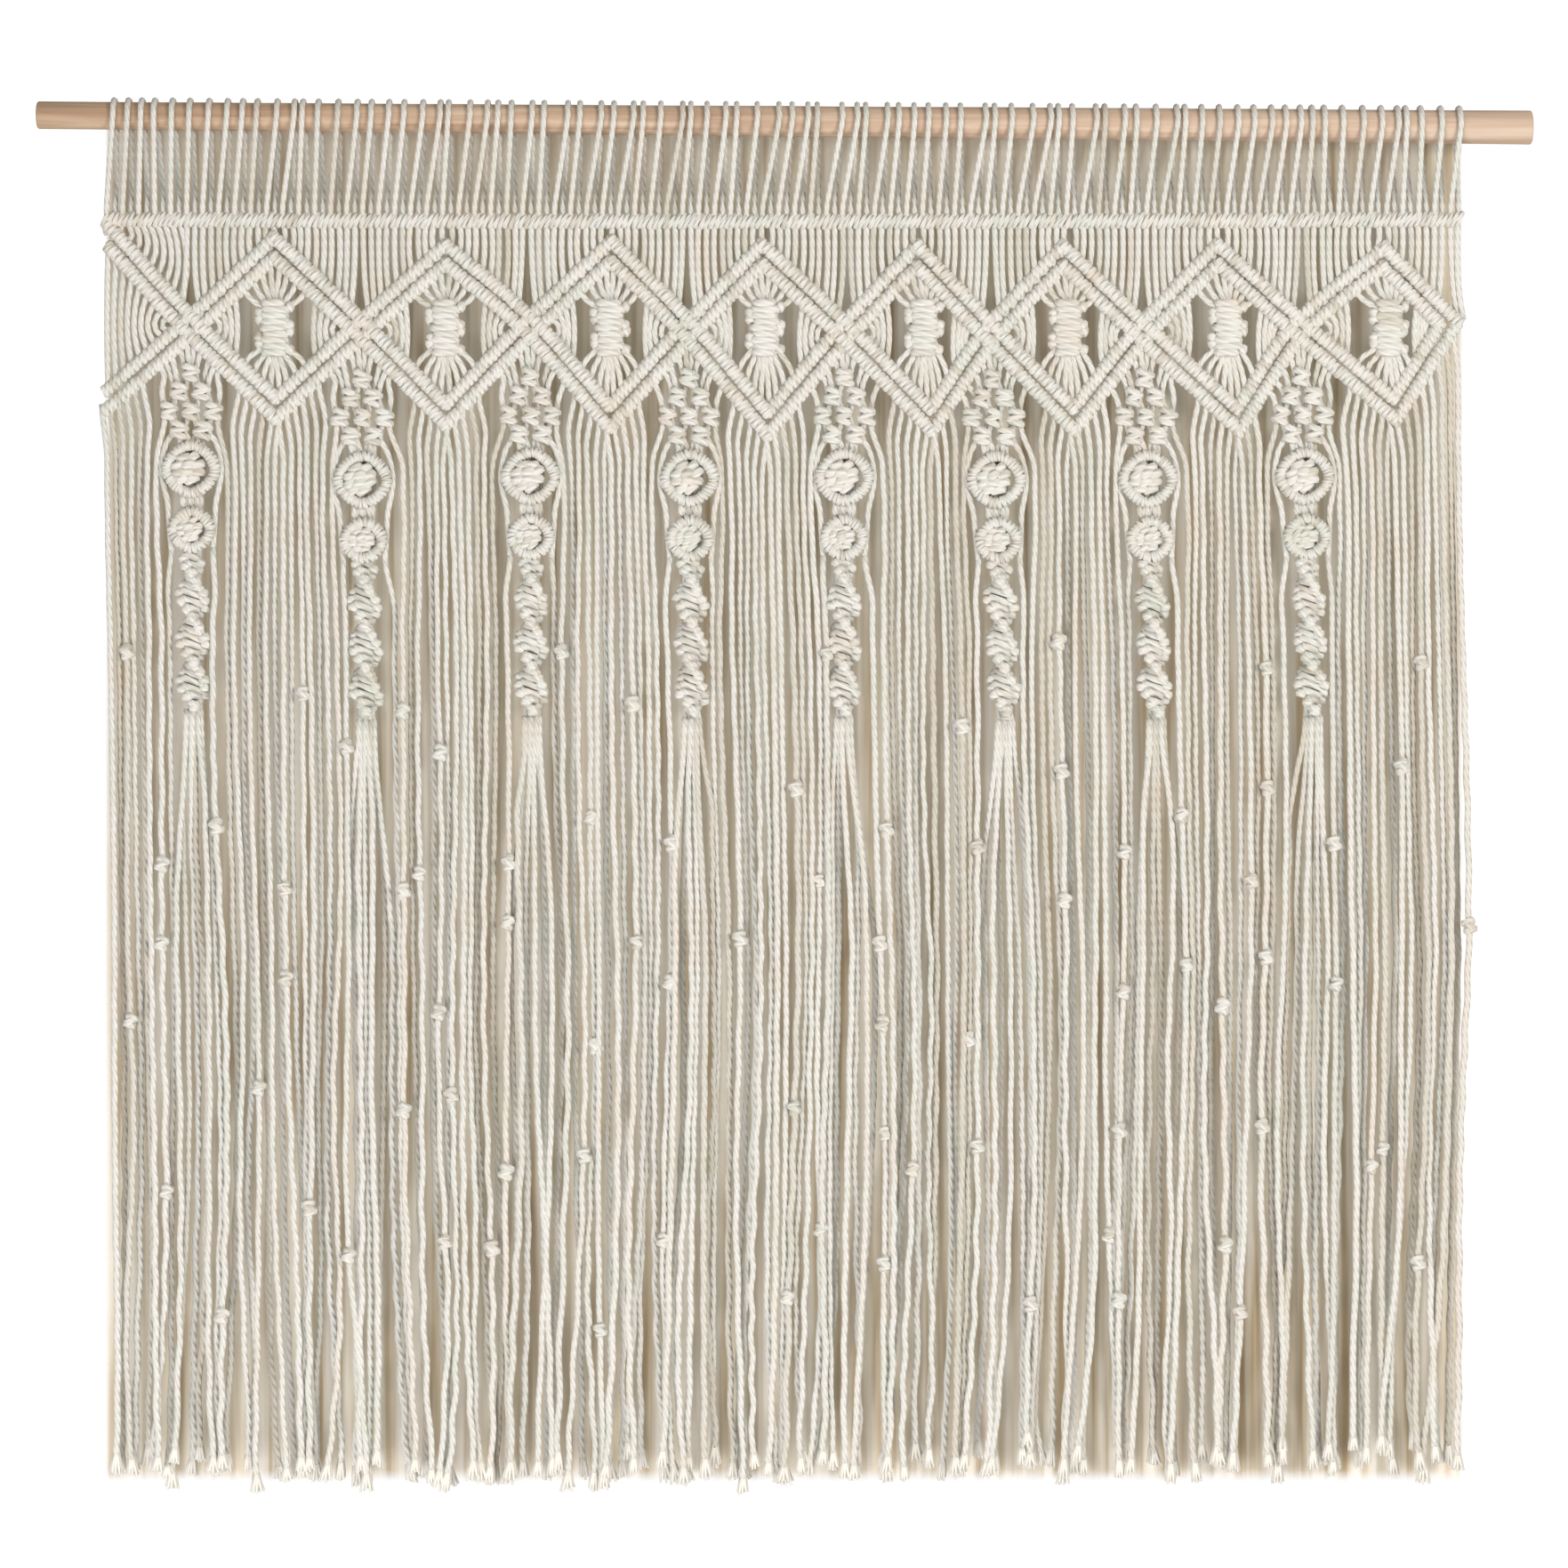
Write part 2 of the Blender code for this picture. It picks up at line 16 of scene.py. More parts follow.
import bpy
import numpy as np
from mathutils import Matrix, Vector


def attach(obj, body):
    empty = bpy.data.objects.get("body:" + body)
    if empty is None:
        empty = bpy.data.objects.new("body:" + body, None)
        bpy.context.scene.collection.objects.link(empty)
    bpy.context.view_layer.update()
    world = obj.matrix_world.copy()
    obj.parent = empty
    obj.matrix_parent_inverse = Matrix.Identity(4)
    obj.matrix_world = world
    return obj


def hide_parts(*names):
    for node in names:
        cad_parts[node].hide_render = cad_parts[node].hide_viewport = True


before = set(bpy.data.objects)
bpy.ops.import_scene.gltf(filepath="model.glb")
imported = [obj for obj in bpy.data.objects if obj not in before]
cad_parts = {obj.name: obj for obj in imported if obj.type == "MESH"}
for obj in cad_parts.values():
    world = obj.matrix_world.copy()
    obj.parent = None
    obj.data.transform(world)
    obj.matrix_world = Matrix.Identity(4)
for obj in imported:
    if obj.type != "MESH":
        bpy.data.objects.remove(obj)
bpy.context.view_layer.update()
MM = 0.001  # metres in a millimetre

# %% [markdown]
# ## The plan of the net
#
# Everything in the net hangs on the corners of its eight diamonds, so they are the lesson's first table. The
# diamonds were knotted by hand and no two are the same. The left corner of one is the right corner of the one
# before it: the bars cross there. The last right corner is near the net's right edge.

# %% The plan of the net
DIAMONDS = (
    {"left": (-334.0, -114.8), "top": (-287.0, -70.8), "bottom": (-286.0, -161.3)},
    {"left": (-238.0, -116.8), "top": (-190.5, -74.6), "bottom": (-190.5, -164.8)},
    {"left": (-143.0, -115.3), "top": (-97.5, -72.8), "bottom": (-98.5, -166.3)},
    {"left": (-54.0, -117.3), "top": (-12.5, -74.8), "bottom": (-9.5, -170.0)},
    {"left": (34.0, -118.3), "top": (74.5, -75.6), "bottom": (82.5, -168.0)},
    {"left": (116.0, -119.3), "top": (156.5, -75.6), "bottom": (162.5, -167.6)},
    {"left": (201.5, -118.3), "top": (243.5, -74.8), "bottom": (255.0, -167.6)},
    {"left": (289.5, -116.3), "top": (336.5, -76.4), "bottom": (343.0, -161.8)},
)
RIGHT_CORNER = (373.5, -113.5)
EDGE_TOP = (-380.0, -64.5)  # where the first bar starts, at the net's left edge
EDGE_BOTTOM = (-381.5, -157.0)
NET_LEFT = -383.0
NET_RIGHT = 381.0
STRANDS = 170
PITCH = (NET_RIGHT - NET_LEFT) / STRANDS
CORD = 1.95  # radius of the cord
CROSSINGS = [row["left"] for row in DIAMONDS] + [RIGHT_CORNER]
TOPS = [EDGE_TOP] + [row["top"] for row in DIAMONDS]
BOTTOMS = [EDGE_BOTTOM] + [row["bottom"] for row in DIAMONDS]
BAND_Z = -55.0


def zigzag(ends):
    """The line that runs through the crossings and the tops or bottoms in turn, from edge to edge."""
    line = []
    for end, crossing in zip(ends, CROSSINGS):
        line += [end, crossing]
    return line


def height_on(line, x):
    """The height at which a line of (x, z) points passes x."""
    return float(np.interp(x, [point[0] for point in line], [point[1] for point in line]))


UPPER_LINE = zigzag(TOPS)
LOWER_LINE = zigzag(BOTTOMS)
chance = random.Random(7)


def by_hand(most):
    """A chance difference of up to this much either way, as between things that a hand made."""
    return chance.uniform(-most, most)


def towards_middle(x):
    """1 in the middle of the net and 0 at its edges."""
    return math.sin(math.pi * (x - NET_LEFT) / (NET_RIGHT - NET_LEFT))


def tilted(angle):
    """An axis that leans to the right of upright by an angle."""
    return math.sin(angle), 0.0, math.cos(angle)


def diamond_middle(row):
    return (row["top"][0] + row["bottom"][0]) / 2


print(STRANDS, "strands,", round(PITCH, 2), "mm apart,", len(CROSSINGS), "crossings")

# %% [markdown]
# ## One helper for colours and one for nodes
#
# Colours are picked as sRGB hex values, as in any paint program, but a shader works in linear light, so one
# function turns them. Every material is a chain of nodes, and one small function adds a node, sets its inputs
# or links them to the nodes before it, and gives back its output for the next.


# %% Colours and nodes
def linear(colour):
    """An sRGB hex colour as linear red, green, blue and alpha."""
    channels = [int(colour[start : start + 2], 16) / 255 for start in (1, 3, 5)]
    return [c / 12.92 if c <= 0.04045 else ((c + 0.055) / 1.055) ** 2.4 for c in channels] + [1.0]


def set_inputs(node, inputs):
    """Sets inputs by name or number, each to a value or by a link from another node's output."""
    for name, value in inputs.items():
        if isinstance(value, bpy.types.NodeSocket):
            node.id_data.links.new(value, node.inputs[name])
        else:
            node.inputs[name].default_value = value


def add_node(owner, kind, inputs, output=0, stops=(), **settings):
    """Adds a node and returns one of its outputs. stops are a ramp's positions and hex colours."""
    node = owner.node_tree.nodes.new("ShaderNode" + kind)
    for name, value in settings.items():
        setattr(node, name, value)
    set_inputs(node, inputs)
    if stops:
        elements = node.color_ramp.elements
        while len(elements) < len(stops):
            elements.new(0.5)
        for element, (position, colour) in zip(elements, stops):
            element.position = position
            element.color = linear(colour)
    return node.outputs[output]


def new_material(name):
    """A new material and its shader."""
    material = bpy.data.materials.new(name)
    material.use_nodes = True
    return material, material.node_tree.nodes["Principled BSDF"]


print("cream is", [round(value, 3) for value in linear("#EFE7D6")])

# %% [markdown]
# ## Twisted cotton cord
#
# The cord is natural cotton: three plies, each of hundreds of loose fibres, twisted together and never
# bleached. It is matt, a little fuzzy at its edges, and cream with strands that lean to yellow or to grey.
# The plies could be modelled, but a cord is only a few pixels wide, so a bump does it: each cord's UV map
# runs in metres along it and once round it, and a sine over both together is a ridge that winds round the
# cord. The same sine darkens the colour a little in the grooves between the plies, as painted shade. The
# fibres are noise drawn out along the cord, far coarser than real ones so that they show.

# %% Cotton
PLY_SPACE = 0.0058  # metres along the cord from one ply to the next
PLIES = (1 / PLY_SPACE, 3.0, 0.0)  # three plies go round the cord
FIBRES = (170.0, 22.0, 1.0)  # fibres 6 mm long, 22 round the cord
PATCHES = 28.0  # patches of another tone, about 36 mm wide
# Each strand's own tone. The darker, greyer end of these tints is also used as painted shade on the fringe's
# back strands.
TINTS = ((0.0, "#F4EEE4"), (0.35, "#F6F4EE"), (0.65, "#F2F1EA"), (1.0, "#E2DCCF"))
BLOTCHES = ((0.3, "#F8F0E8"), (0.5, "#FFFFFF"), (0.7, "#EDF1E8"))
cotton, shader = new_material("natural_twisted_cotton")
uv = add_node(cotton, "UVMap", {}, uv_map="UVMap")
turns = add_node(cotton, "VectorMath", {0: uv, 1: PLIES}, "Value", operation="DOT_PRODUCT")
angle = add_node(cotton, "Math", {0: turns, 1: 2 * math.pi}, operation="MULTIPLY")
ridge = add_node(cotton, "Math", {0: angle}, operation="SINE")
drawn = add_node(cotton, "Mapping", {"Vector": uv, "Scale": FIBRES})
fibre = add_node(cotton, "TexNoise", {"Vector": drawn, "Scale": 1.0, "Detail": 3.0, "Roughness": 0.65}, "Fac")
tint = add_node(cotton, "Attribute", {}, "Fac", attribute_name="tint")
strand_colour = add_node(cotton, "ValToRGB", {"Fac": tint}, stops=TINTS)
place = add_node(cotton, "TexCoord", {}, "Object")
patch = add_node(cotton, "TexNoise", {"Vector": place, "Scale": PATCHES, "Detail": 2.0}, "Fac")
blotches = add_node(cotton, "ValToRGB", {"Fac": patch}, stops=BLOTCHES)
tones = {0: 0.55, 6: strand_colour, 7: blotches}
blotched = add_node(cotton, "Mix", tones, 2, data_type="RGBA", blend_type="MULTIPLY")
# Painted shade: the colour is darkened to 0.88 in the grooves between the plies, where the ridge's sine is
# lowest.
painted_groove_range = {"Value": ridge, "From Min": -1.0, "From Max": 1.0, "To Min": 0.88}
fibre_range = {"Value": fibre, "From Min": 0.25, "From Max": 0.75, "To Min": 0.78}
painted_groove_shade = add_node(cotton, "MapRange", painted_groove_range)
fibre_shade = add_node(cotton, "MapRange", fibre_range)
# The painted groove shade times the fibres' own tone.
shade = add_node(cotton, "Math", {0: painted_groove_shade, 1: fibre_shade}, operation="MULTIPLY")
shaded = add_node(cotton, "VectorMath", {0: blotched, 1: shade}, operation="MULTIPLY")
relief = add_node(cotton, "Math", {0: fibre, 1: 0.9, 2: ridge}, operation="MULTIPLY_ADD")
bump = add_node(cotton, "Bump", {"Height": relief, "Strength": 0.7, "Distance": 0.0004})
set_inputs(shader, {"Base Color": shaded, "Normal": bump, "Roughness": 0.93, "Specular IOR Level": 0.2})
set_inputs(shader, {"Sheen Weight": 0.25, "Sheen Roughness": 0.6})
print("cotton has", len(cotton.node_tree.nodes), "nodes")

# %% [markdown]
# ## Plain sanded wood
#
# The rod is a light wooden dowel, sanded and left without varnish, warm tan at the left and paler and pinker
# to the right. Wood grain is noise stretched along the rod: years of growth show as long streaks with finer
# ones between them, and the pores as short and fine dents.

# %% Wood
STREAKS = (9.0, 240.0, 240.0)  # 110 mm long and 4 mm wide
PORES = (60.0, 1400.0, 1400.0)  # 17 mm long and 0.7 mm wide
TAN = ((0.25, "#A08268"), (0.5, "#BDA085"), (0.75, "#D3BDA5"))
PALE = ((0.25, "#BFA28C"), (0.5, "#CDB5A0"), (0.75, "#D9C7B5"))
wood, shader = new_material("sanded_beech_wood")
place = add_node(wood, "TexCoord", {}, "Object")
at = add_node(wood, "Mapping", {"Vector": place, "Scale": STREAKS})
streaks = add_node(wood, "TexNoise", {"Vector": at, "Scale": 1.0, "Detail": 4.0, "Distortion": 0.6}, "Fac")
at = add_node(wood, "Mapping", {"Vector": place, "Scale": PORES})
pores = add_node(wood, "TexNoise", {"Vector": at, "Scale": 1.0, "Detail": 2.0}, "Fac")
tan = add_node(wood, "ValToRGB", {"Fac": streaks}, stops=TAN)
pale = add_node(wood, "ValToRGB", {"Fac": streaks}, stops=PALE)
across = add_node(wood, "SeparateXYZ", {"Vector": place}, "X")
fade = add_node(wood, "MapRange", {"Value": across, "From Min": -0.35, "From Max": 0.42})
# Tan at the left, paler and pinker to the right.
tan_to_pale = add_node(wood, "Mix", {0: fade, 6: tan, 7: pale}, 2, data_type="RGBA")
bump = add_node(wood, "Bump", {"Height": pores, "Strength": 0.3, "Distance": 0.0003})
set_inputs(shader, {"Base Color": tan_to_pale, "Normal": bump, "Roughness": 0.58, "Specular IOR Level": 0.35})
print("wood has", len(wood.node_tree.nodes), "nodes")

# %% [markdown]
# ## The rod
#
# A dowel could be one cylinder, but a real one isn't quite straight or even, and its sawn ends are rounded
# over with sandpaper. So it starts as a flat disc, and is extruded along its length in steps, each a little
# wider than the last, as the stick gets thicker to the right. The first and last steps are short and narrow,
# for the rounded ends.

# %% The rod
ROD_HALF = 420.0
ROD_RADIUS = 8.6
ROD_TAPER = 0.9  # how much thicker in radius the right end is than the middle
ROD_DROP = 3.5  # how much lower the right end is than the middle
ROD_SIDES = 48


def rod_radius(x):
    return ROD_RADIUS + ROD_TAPER * x / ROD_HALF


def rod_z(x):
    return -ROD_DROP * x / ROD_HALF


def make_rod():
    stops = [(-ROD_HALF, -1.0), (-ROD_HALF + 0.3, -0.4), (-ROD_HALF + 1.0, 0.0)]
    stops += [(x, by_hand(0.12)) for x in range(-390, 391, 30)]
    stops += [(ROD_HALF - 1.0, 0.0), (ROD_HALF - 0.3, -0.4), (ROD_HALF, -1.0)]
    x, extra = stops[0]
    radius = rod_radius(x) + extra
    bpy.ops.object.select_all(action="DESELECT")
    bpy.ops.mesh.primitive_circle_add(
        vertices=ROD_SIDES, radius=radius * MM, fill_type="NGON",
        location=(x * MM, 0.0, rod_z(x) * MM), rotation=(0.0, math.pi / 2, 0.0),
    )
    rod = bpy.context.active_object
    rod.name = "rod_turned"
    bpy.ops.object.transform_apply(location=True, rotation=True, scale=True)
    bpy.ops.object.mode_set(mode="EDIT")
    bpy.ops.mesh.select_all(action="SELECT")
    for next_x, extra in stops[1:]:
        step = ((next_x - x) * MM, 0.0, (rod_z(next_x) - rod_z(x)) * MM)
        bpy.ops.mesh.extrude_region_move(TRANSFORM_OT_translate={"value": step})
        wider = (rod_radius(next_x) + extra) / radius
        centre = (next_x * MM, 0.0, rod_z(next_x) * MM)
        bpy.ops.transform.resize(value=(1.0, wider, wider), center_override=centre)
        x, radius = next_x, radius * wider
    bpy.ops.mesh.select_all(action="SELECT")
    bpy.ops.mesh.normals_make_consistent(inside=False)
    bpy.ops.object.mode_set(mode="OBJECT")
    bpy.ops.object.shade_smooth_by_angle(angle=math.radians(50))
    rod.data.materials.append(wood)
    return rod


rod = make_rod()
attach(rod, "root")
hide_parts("rod")
print("rod:", len(rod.data.polygons), "faces,", [round(value / MM, 1) for value in rod.dimensions], "mm")

# %% [markdown]
# ## Laying a cord
#
# A curve with a round bevel would give one cord. Here there are hundreds, each with a UV map in metres and a
# tint of its own, so one function lays them as mesh: it walks along each smooth path, puts a six-sided ring
# round every point, and joins ring to ring. The ring is carried along without twisting, and its seam starts
# at the back of the hanging, where it doesn't show.


# %% Laying a cord
def even_path(points, spacing):
    """A smooth curve through the points, as new points an even spacing apart."""
    points = np.array(points, float)
    padded = np.vstack([2 * points[0] - points[1], points, 2 * points[-1] - points[-2]])
    share = np.linspace(0, 1, 8, endpoint=False)[:, None]
    curve = []
    for a, b, c, d in zip(padded, padded[1:], padded[2:], padded[3:]):
        bend = (2 * a - 5 * b + 4 * c - d) * share**2 + (3 * b - a - 3 * c + d) * share**3
        curve.append(b + 0.5 * ((c - a) * share + bend))
    curve = np.vstack([*curve, points[-1:]])
    steps = np.linalg.norm(np.diff(curve, axis=0), axis=1)
    lengths = np.concatenate([[0.0], np.cumsum(steps)])
    wanted = np.linspace(0, lengths[-1], max(2, round(lengths[-1] / spacing)) + 1)
    return np.column_stack([np.interp(wanted, lengths, curve[:, axis]) for axis in range(3)])


def unit(vectors):
    return vectors / np.linalg.norm(vectors, axis=-1, keepdims=True)


def cord_rings(path, radius, sides):
    """Corners of a ring round each point of the path, in metres, and each ring's distance along it."""
    along = unit(np.gradient(path, axis=0))
    side = np.array([0.02, 1.0, 0.01])
    carried = []
    for direction in along:
        side = unit(side - direction * side.dot(direction))
        carried.append(side)
    carried = np.array(carried)
    other = np.cross(along, carried)
    angles = (2 * np.pi * np.arange(sides) / sides)[None, :, None]
    outward = np.cos(angles) * carried[:, None] + np.sin(angles) * other[:, None]
    distance = np.concatenate([[0.0], np.cumsum(np.linalg.norm(np.diff(path, axis=0), axis=1))])
    radii = np.broadcast_to(np.asarray(radius, float), len(path))
    return (path[:, None] + outward * radii[:, None, None]) * MM, distance * MM


def lay_cords(name, cords, sides=6):
    """One mesh of closed tubes, from (path, radius, tint) cords. A radius may differ from point to point."""
    corners, faces, uvs, tints = [], [], [], []
    first = 0
    for path, radius, tint_value in cords:
        rings, distance = cord_rings(path, radius, sides)
        count = len(rings)
        for ring in range(count - 1):
            near = first + ring * sides
            for side in range(sides):
                turned = (side + 1) % sides
                faces.append((near + side, near + turned, near + sides + turned, near + sides + side))
                here, there = distance[ring], distance[ring + 1]
                low, high = side / sides, (side + 1) / sides
                uvs += [(here, low), (here, high), (there, high), (there, low)]
        last = first + (count - 1) * sides
        faces.append(tuple(range(first + sides - 1, first - 1, -1)))
        faces.append(tuple(range(last, last + sides)))
        uvs += [(distance[0], 0.5)] * sides + [(distance[-1], 0.5)] * sides
        corners.append(rings.reshape(-1, 3))
        tints += [tint_value] * (count * sides)
        first += count * sides
    return cotton_piece(name, np.vstack(corners), faces, uvs, tints)


def cotton_piece(name, corners, faces, uvs, tints):
    """A finished cotton piece from its corners, faces, UV pairs and a tint for each corner."""
    mesh = bpy.data.meshes.new(name)
    mesh.from_pydata(corners.tolist(), [], faces)
    layer = mesh.uv_layers.new(name="UVMap")
    layer.data.foreach_set("uv", np.array(uvs, np.float32).ravel())
    attribute = mesh.attributes.new("tint", "FLOAT", "POINT")
    attribute.data.foreach_set("value", np.array(tints, np.float32))
    mesh.shade_smooth()
    mesh.materials.append(cotton)
    piece = bpy.data.objects.new(name, mesh)
    bpy.context.scene.collection.objects.link(piece)
    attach(piece, "root")
    mesh.calc_loop_triangles()
    print(f"{name}: {len(mesh.loop_triangles)} triangles")
    return piece


def new_tint():
    """Most strands are near the middle of the range, and a few are yellower or greyer."""
    return min(1.0, max(0.0, chance.gauss(0.5, 0.24)))


# %% [markdown]
# ## Winding a cord round another
#
# Macrame has one main knot, the hitch: a cord wound round another. The wound turn is a torus, drawn out along
# its axis because the cord flattens as it is pulled tight. It is modelled once and copied over a thousand
# times, so it has few faces. Where a turn goes round a flat bundle, as in a square knot, the two halves of
# the torus are pulled apart in edit mode.


# %% Winding a cord
def model_turn(reach, cord, spread, widen, segments=12):
    """One turn of cord round the Z axis. Its left and right halves are each pulled outwards by the spread."""
    bpy.ops.object.select_all(action="DESELECT")
    bpy.ops.mesh.primitive_torus_add(
        major_segments=segments, minor_segments=6, major_radius=reach * MM, minor_radius=cord * MM
    )
    turn = bpy.context.active_object
    bpy.ops.object.mode_set(mode="EDIT")
    bpy.ops.mesh.select_all(action="SELECT")
    bpy.ops.transform.resize(value=(1.0, 1.0, widen), center_override=(0.0, 0.0, 0.0))
    bpy.ops.object.mode_set(mode="OBJECT")
    for way in (-1, 1):
        for part in (turn.data.vertices, turn.data.edges, turn.data.polygons):
            part.foreach_set("select", [False] * len(part))
        for vertex in turn.data.vertices:
            vertex.select = vertex.co.x * way > 0.0001
        bpy.ops.object.mode_set(mode="EDIT")
        bpy.ops.transform.translate(value=(way * spread * MM, 0.0, 0.0))
        bpy.ops.object.mode_set(mode="OBJECT")
    mesh = turn.data
    points = np.array([vertex.co for vertex in mesh.vertices])
    faces = np.array([polygon.vertices for polygon in mesh.polygons])
    uvs = np.array([item.uv for item in mesh.uv_layers[0].data])
    uvs[:, 0] *= (2 * math.pi * reach + 4 * spread) * MM
    bpy.data.objects.remove(turn)
    return {"points": points, "faces": faces, "uvs": uvs}


def wound(centre, axis, across=None, scale=(1.0, 1.0, 1.0)):
    """Where a turn goes: its centre in millimetres, the cord it winds round, and which way its width lies."""
    axis = unit(np.array(axis, float))
    across = np.cross((0.0, 1.0, 0.0), axis) if across is None else np.array(across, float)
    back = unit(np.cross(axis, across))
    across = np.cross(back, axis)
    matrix = np.column_stack([across * scale[0], back * scale[1], axis * scale[2]])
    return matrix, np.array(centre, float) * MM, new_tint()


def wind_turns(name, turn, places):
    """One mesh of copies of a turn, one at each place."""
    points, faces, uvs, tints = [], [], [], []
    for number, (matrix, centre, tint_value) in enumerate(places):
        points.append(turn["points"] @ matrix.T + centre)
        faces.append(turn["faces"] + number * len(turn["points"]))
        uvs.append(turn["uvs"] + (chance.random() * 0.01, 0.0))
        tints += [tint_value] * len(turn["points"])
    return cotton_piece(name, np.vstack(points), np.vstack(faces).tolist(), np.vstack(uvs), tints)


hitch = model_turn(reach=2.75, cord=1.25, spread=0.0, widen=1.65)
print("a hitch has", len(hitch["faces"]), "faces")

# %% [markdown]
# ## Loops over the rod
#
# Each length of cord is folded in half and hung over the rod, and both legs come down to the band, where
# they meet. So a loop is one path: up in front, round the top and down behind. By hand no two are spaced
# alike, and in the middle of the net they lean a little to the right.

# %% Loops
LOOPS = STRANDS // 2
LOOP_CORD = 1.7  # the cord is thinner where it hangs free than where it is pressed into a knot
LOOP_LEAN = 4.2  # how far to the right the loops lean in the middle of the net
LOOP_SPACE = 4.6  # the least distance between two loops on the rod
PRESSED = 0.5  # how far the cord is pressed flat on the wood
at_rod = NET_LEFT - 10.0
loops = []
for number in range(LOOPS):
    foot = NET_LEFT + (2 * number + 1) * PITCH
    lean = LOOP_LEAN * towards_middle(foot) + by_hand(3.0)
    at_rod = min(max(foot + lean, at_rod + LOOP_SPACE), NET_RIGHT - 1.0)
    reach = rod_radius(at_rod) + LOOP_CORD - PRESSED
    front = foot - 0.5 * PITCH
    back = foot + 0.5 * PITCH
    points = [(front, -1.2, BAND_Z), (front, -2.6, BAND_Z + 7.0)]
    points.append((front * 0.75 + at_rod * 0.25, -4.4, -36.0))
    for degrees in (188, 150, 120, 90, 60, 30, -8):
        turned = math.radians(degrees)
        points.append((at_rod, math.cos(turned) * reach, rod_z(at_rod) + math.sin(turned) * reach))
    points.append((back * 0.75 + at_rod * 0.25, 4.4, -33.0))
    points += [(back, 0.8, BAND_Z + 8.5), (back, -1.0, BAND_Z)]
    loops.append((even_path(points, 4.5), LOOP_CORD, new_tint()))
loops_piece = lay_cords("loops", loops)
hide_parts("net")

# %% [markdown]
# ## The band
#
# Below the loops every leg is hitched round one cord that runs from edge to edge. The hitches lie close, and
# all slant the same way. Turns round an axis near X make it, pressed narrow because they are so close.

# %% The band
BAND_SPACE = 2.9  # from one hitch of the band to the next, nearly
BAND_END = 1.5  # from the net's edge to the middle of the last hitch
BAND_SLANT = 24  # degrees
BAND_SAG = 1.0
band = []
band_turns = round((NET_RIGHT - NET_LEFT) / BAND_SPACE)
for number in range(band_turns + 1):
    x = NET_LEFT + BAND_END + (NET_RIGHT - NET_LEFT - 2 * BAND_END) * number / band_turns
    slant = math.radians(BAND_SLANT + by_hand(7))
    grow = chance.uniform(0.96, 1.05)
    centre = (x, -0.4, BAND_Z - BAND_SAG * towards_middle(x) + by_hand(0.3))
    way = (math.cos(slant), 0.0, -math.sin(slant))
    band.append(wound(centre, way, scale=(1.26 * grow, grow, 0.74)))
wind_turns("band", hitch, band)

# %% [markdown]
# ## The diagonal bars
#
# A bar is two rows of hitches side by side, with a dark line between them. One bar falls from each top
# through a crossing to the next bottom, and another rises the other way, so each is laid out by its corners.
# Both rows are moved half a row to the side, and end on the line where they meet the next bar's rows.


# %% The bars
ROW_HALF = 4.05  # half the distance between a bar's two rows
HITCH_SPACE = 3.15
HITCH_SLANT = 16  # degrees


def beside(corners, shift, upright_ends):
    """A row's corners, to one side of a bar's. Its ends are level with the bar's or upright above them."""
    corners = [np.array(corner, float) for corner in corners]
    directions = [unit(b - a) for a, b in zip(corners, corners[1:])]
    normals = [np.array([-d[1], d[0]]) for d in directions]
    row = []
    for number, corner in enumerate(corners):
        if 0 < number < len(corners) - 1:
            row.append(corner + unit(normals[0] + normals[-1]) * shift)
            continue
        end = 0 if number == 0 else -1
        moved = corner + normals[end] * shift
        axis = 0 if upright_ends[end] else 1
        row.append(moved + directions[end] * (corner[axis] - moved[axis]) / directions[end][axis])
    return row


def hitch_row(corners, y, slant):
    """Hitches all along a row, each slanting a little against it."""
    path = even_path([(x, y, z) for x, z in corners], HITCH_SPACE)
    places = []
    for centre, (x, _, z) in zip(path, unit(np.gradient(path, axis=0))):
        lean = math.radians(slant + by_hand(7))
        axis = (x * math.cos(lean) - z * math.sin(lean), 0.0, x * math.sin(lean) + z * math.cos(lean))
        grow = chance.uniform(0.94, 1.05)
        uneven = np.array([by_hand(0.2), by_hand(0.3), by_hand(0.2)])
        places.append(wound(centre + uneven, axis, scale=(grow, grow, 1.0)))
    return places


falling, rising = [], []
for number, crossing in enumerate(CROSSINGS):
    last = number == len(DIAMONDS)
    fall, rise = [TOPS[number], crossing], [BOTTOMS[number], crossing]
    if not last:
        fall.append(DIAMONDS[number]["bottom"])
        rise.append(DIAMONDS[number]["top"])
    for shift in (-ROW_HALF, ROW_HALF):
        falling += hitch_row(beside(fall, shift, (True, not last)), -0.8, HITCH_SLANT)
        rising += hitch_row(beside(rise, shift, (True, not last)), 0.2, -HITCH_SLANT)
wind_turns("bars_falling", hitch, falling)
wind_turns("bars_rising", hitch, rising)

# %% [markdown]
# ## Strands between the band and the bars
#
# From the band the strands hang side by side down to the bars. Each leaves its bar at a right angle and then
# turns upright. So its foot is moved away from the low corner where two bars cross, a small dark hole stays
# above each crossing, and the strand bows towards the corner. At the left edge there is less hold, and the
# bows are larger.

# %% Upper strands
FOOT_SHIFT = 2.3  # how far a strand's foot is moved away from the crossing below
CLOSE_SHIFT = 2.4  # how much further it is moved right above the crossing
CLOSE = 8.0  # how far from the crossing that ends
BOW_REACH = 45.0  # how far from the crossing the bows grow
UPPER_BOW = 1.6
EDGE_BOW = 3.4  # the bow of a short strand at the left edge
LONG_BOW = 9.0  # how much a longer one there adds


def bowed(x, upper, lower, bow, y, top_shift=0.0, foot_shift=0.0):
    """A strand from an upper to a lower height that bows sideways in between."""
    height = upper - lower
    points = [(x + top_shift, y, upper)]
    for share, amount in ((0.3, 0.8), (0.6, 1.0), (0.85, 0.55)):
        shift = top_shift * (1 - share) ** 3 + foot_shift * share**3
        points.append((x + bow * amount + shift, y - 0.3, upper - height * share))
    points.append((x + foot_shift, y, lower))
    return points


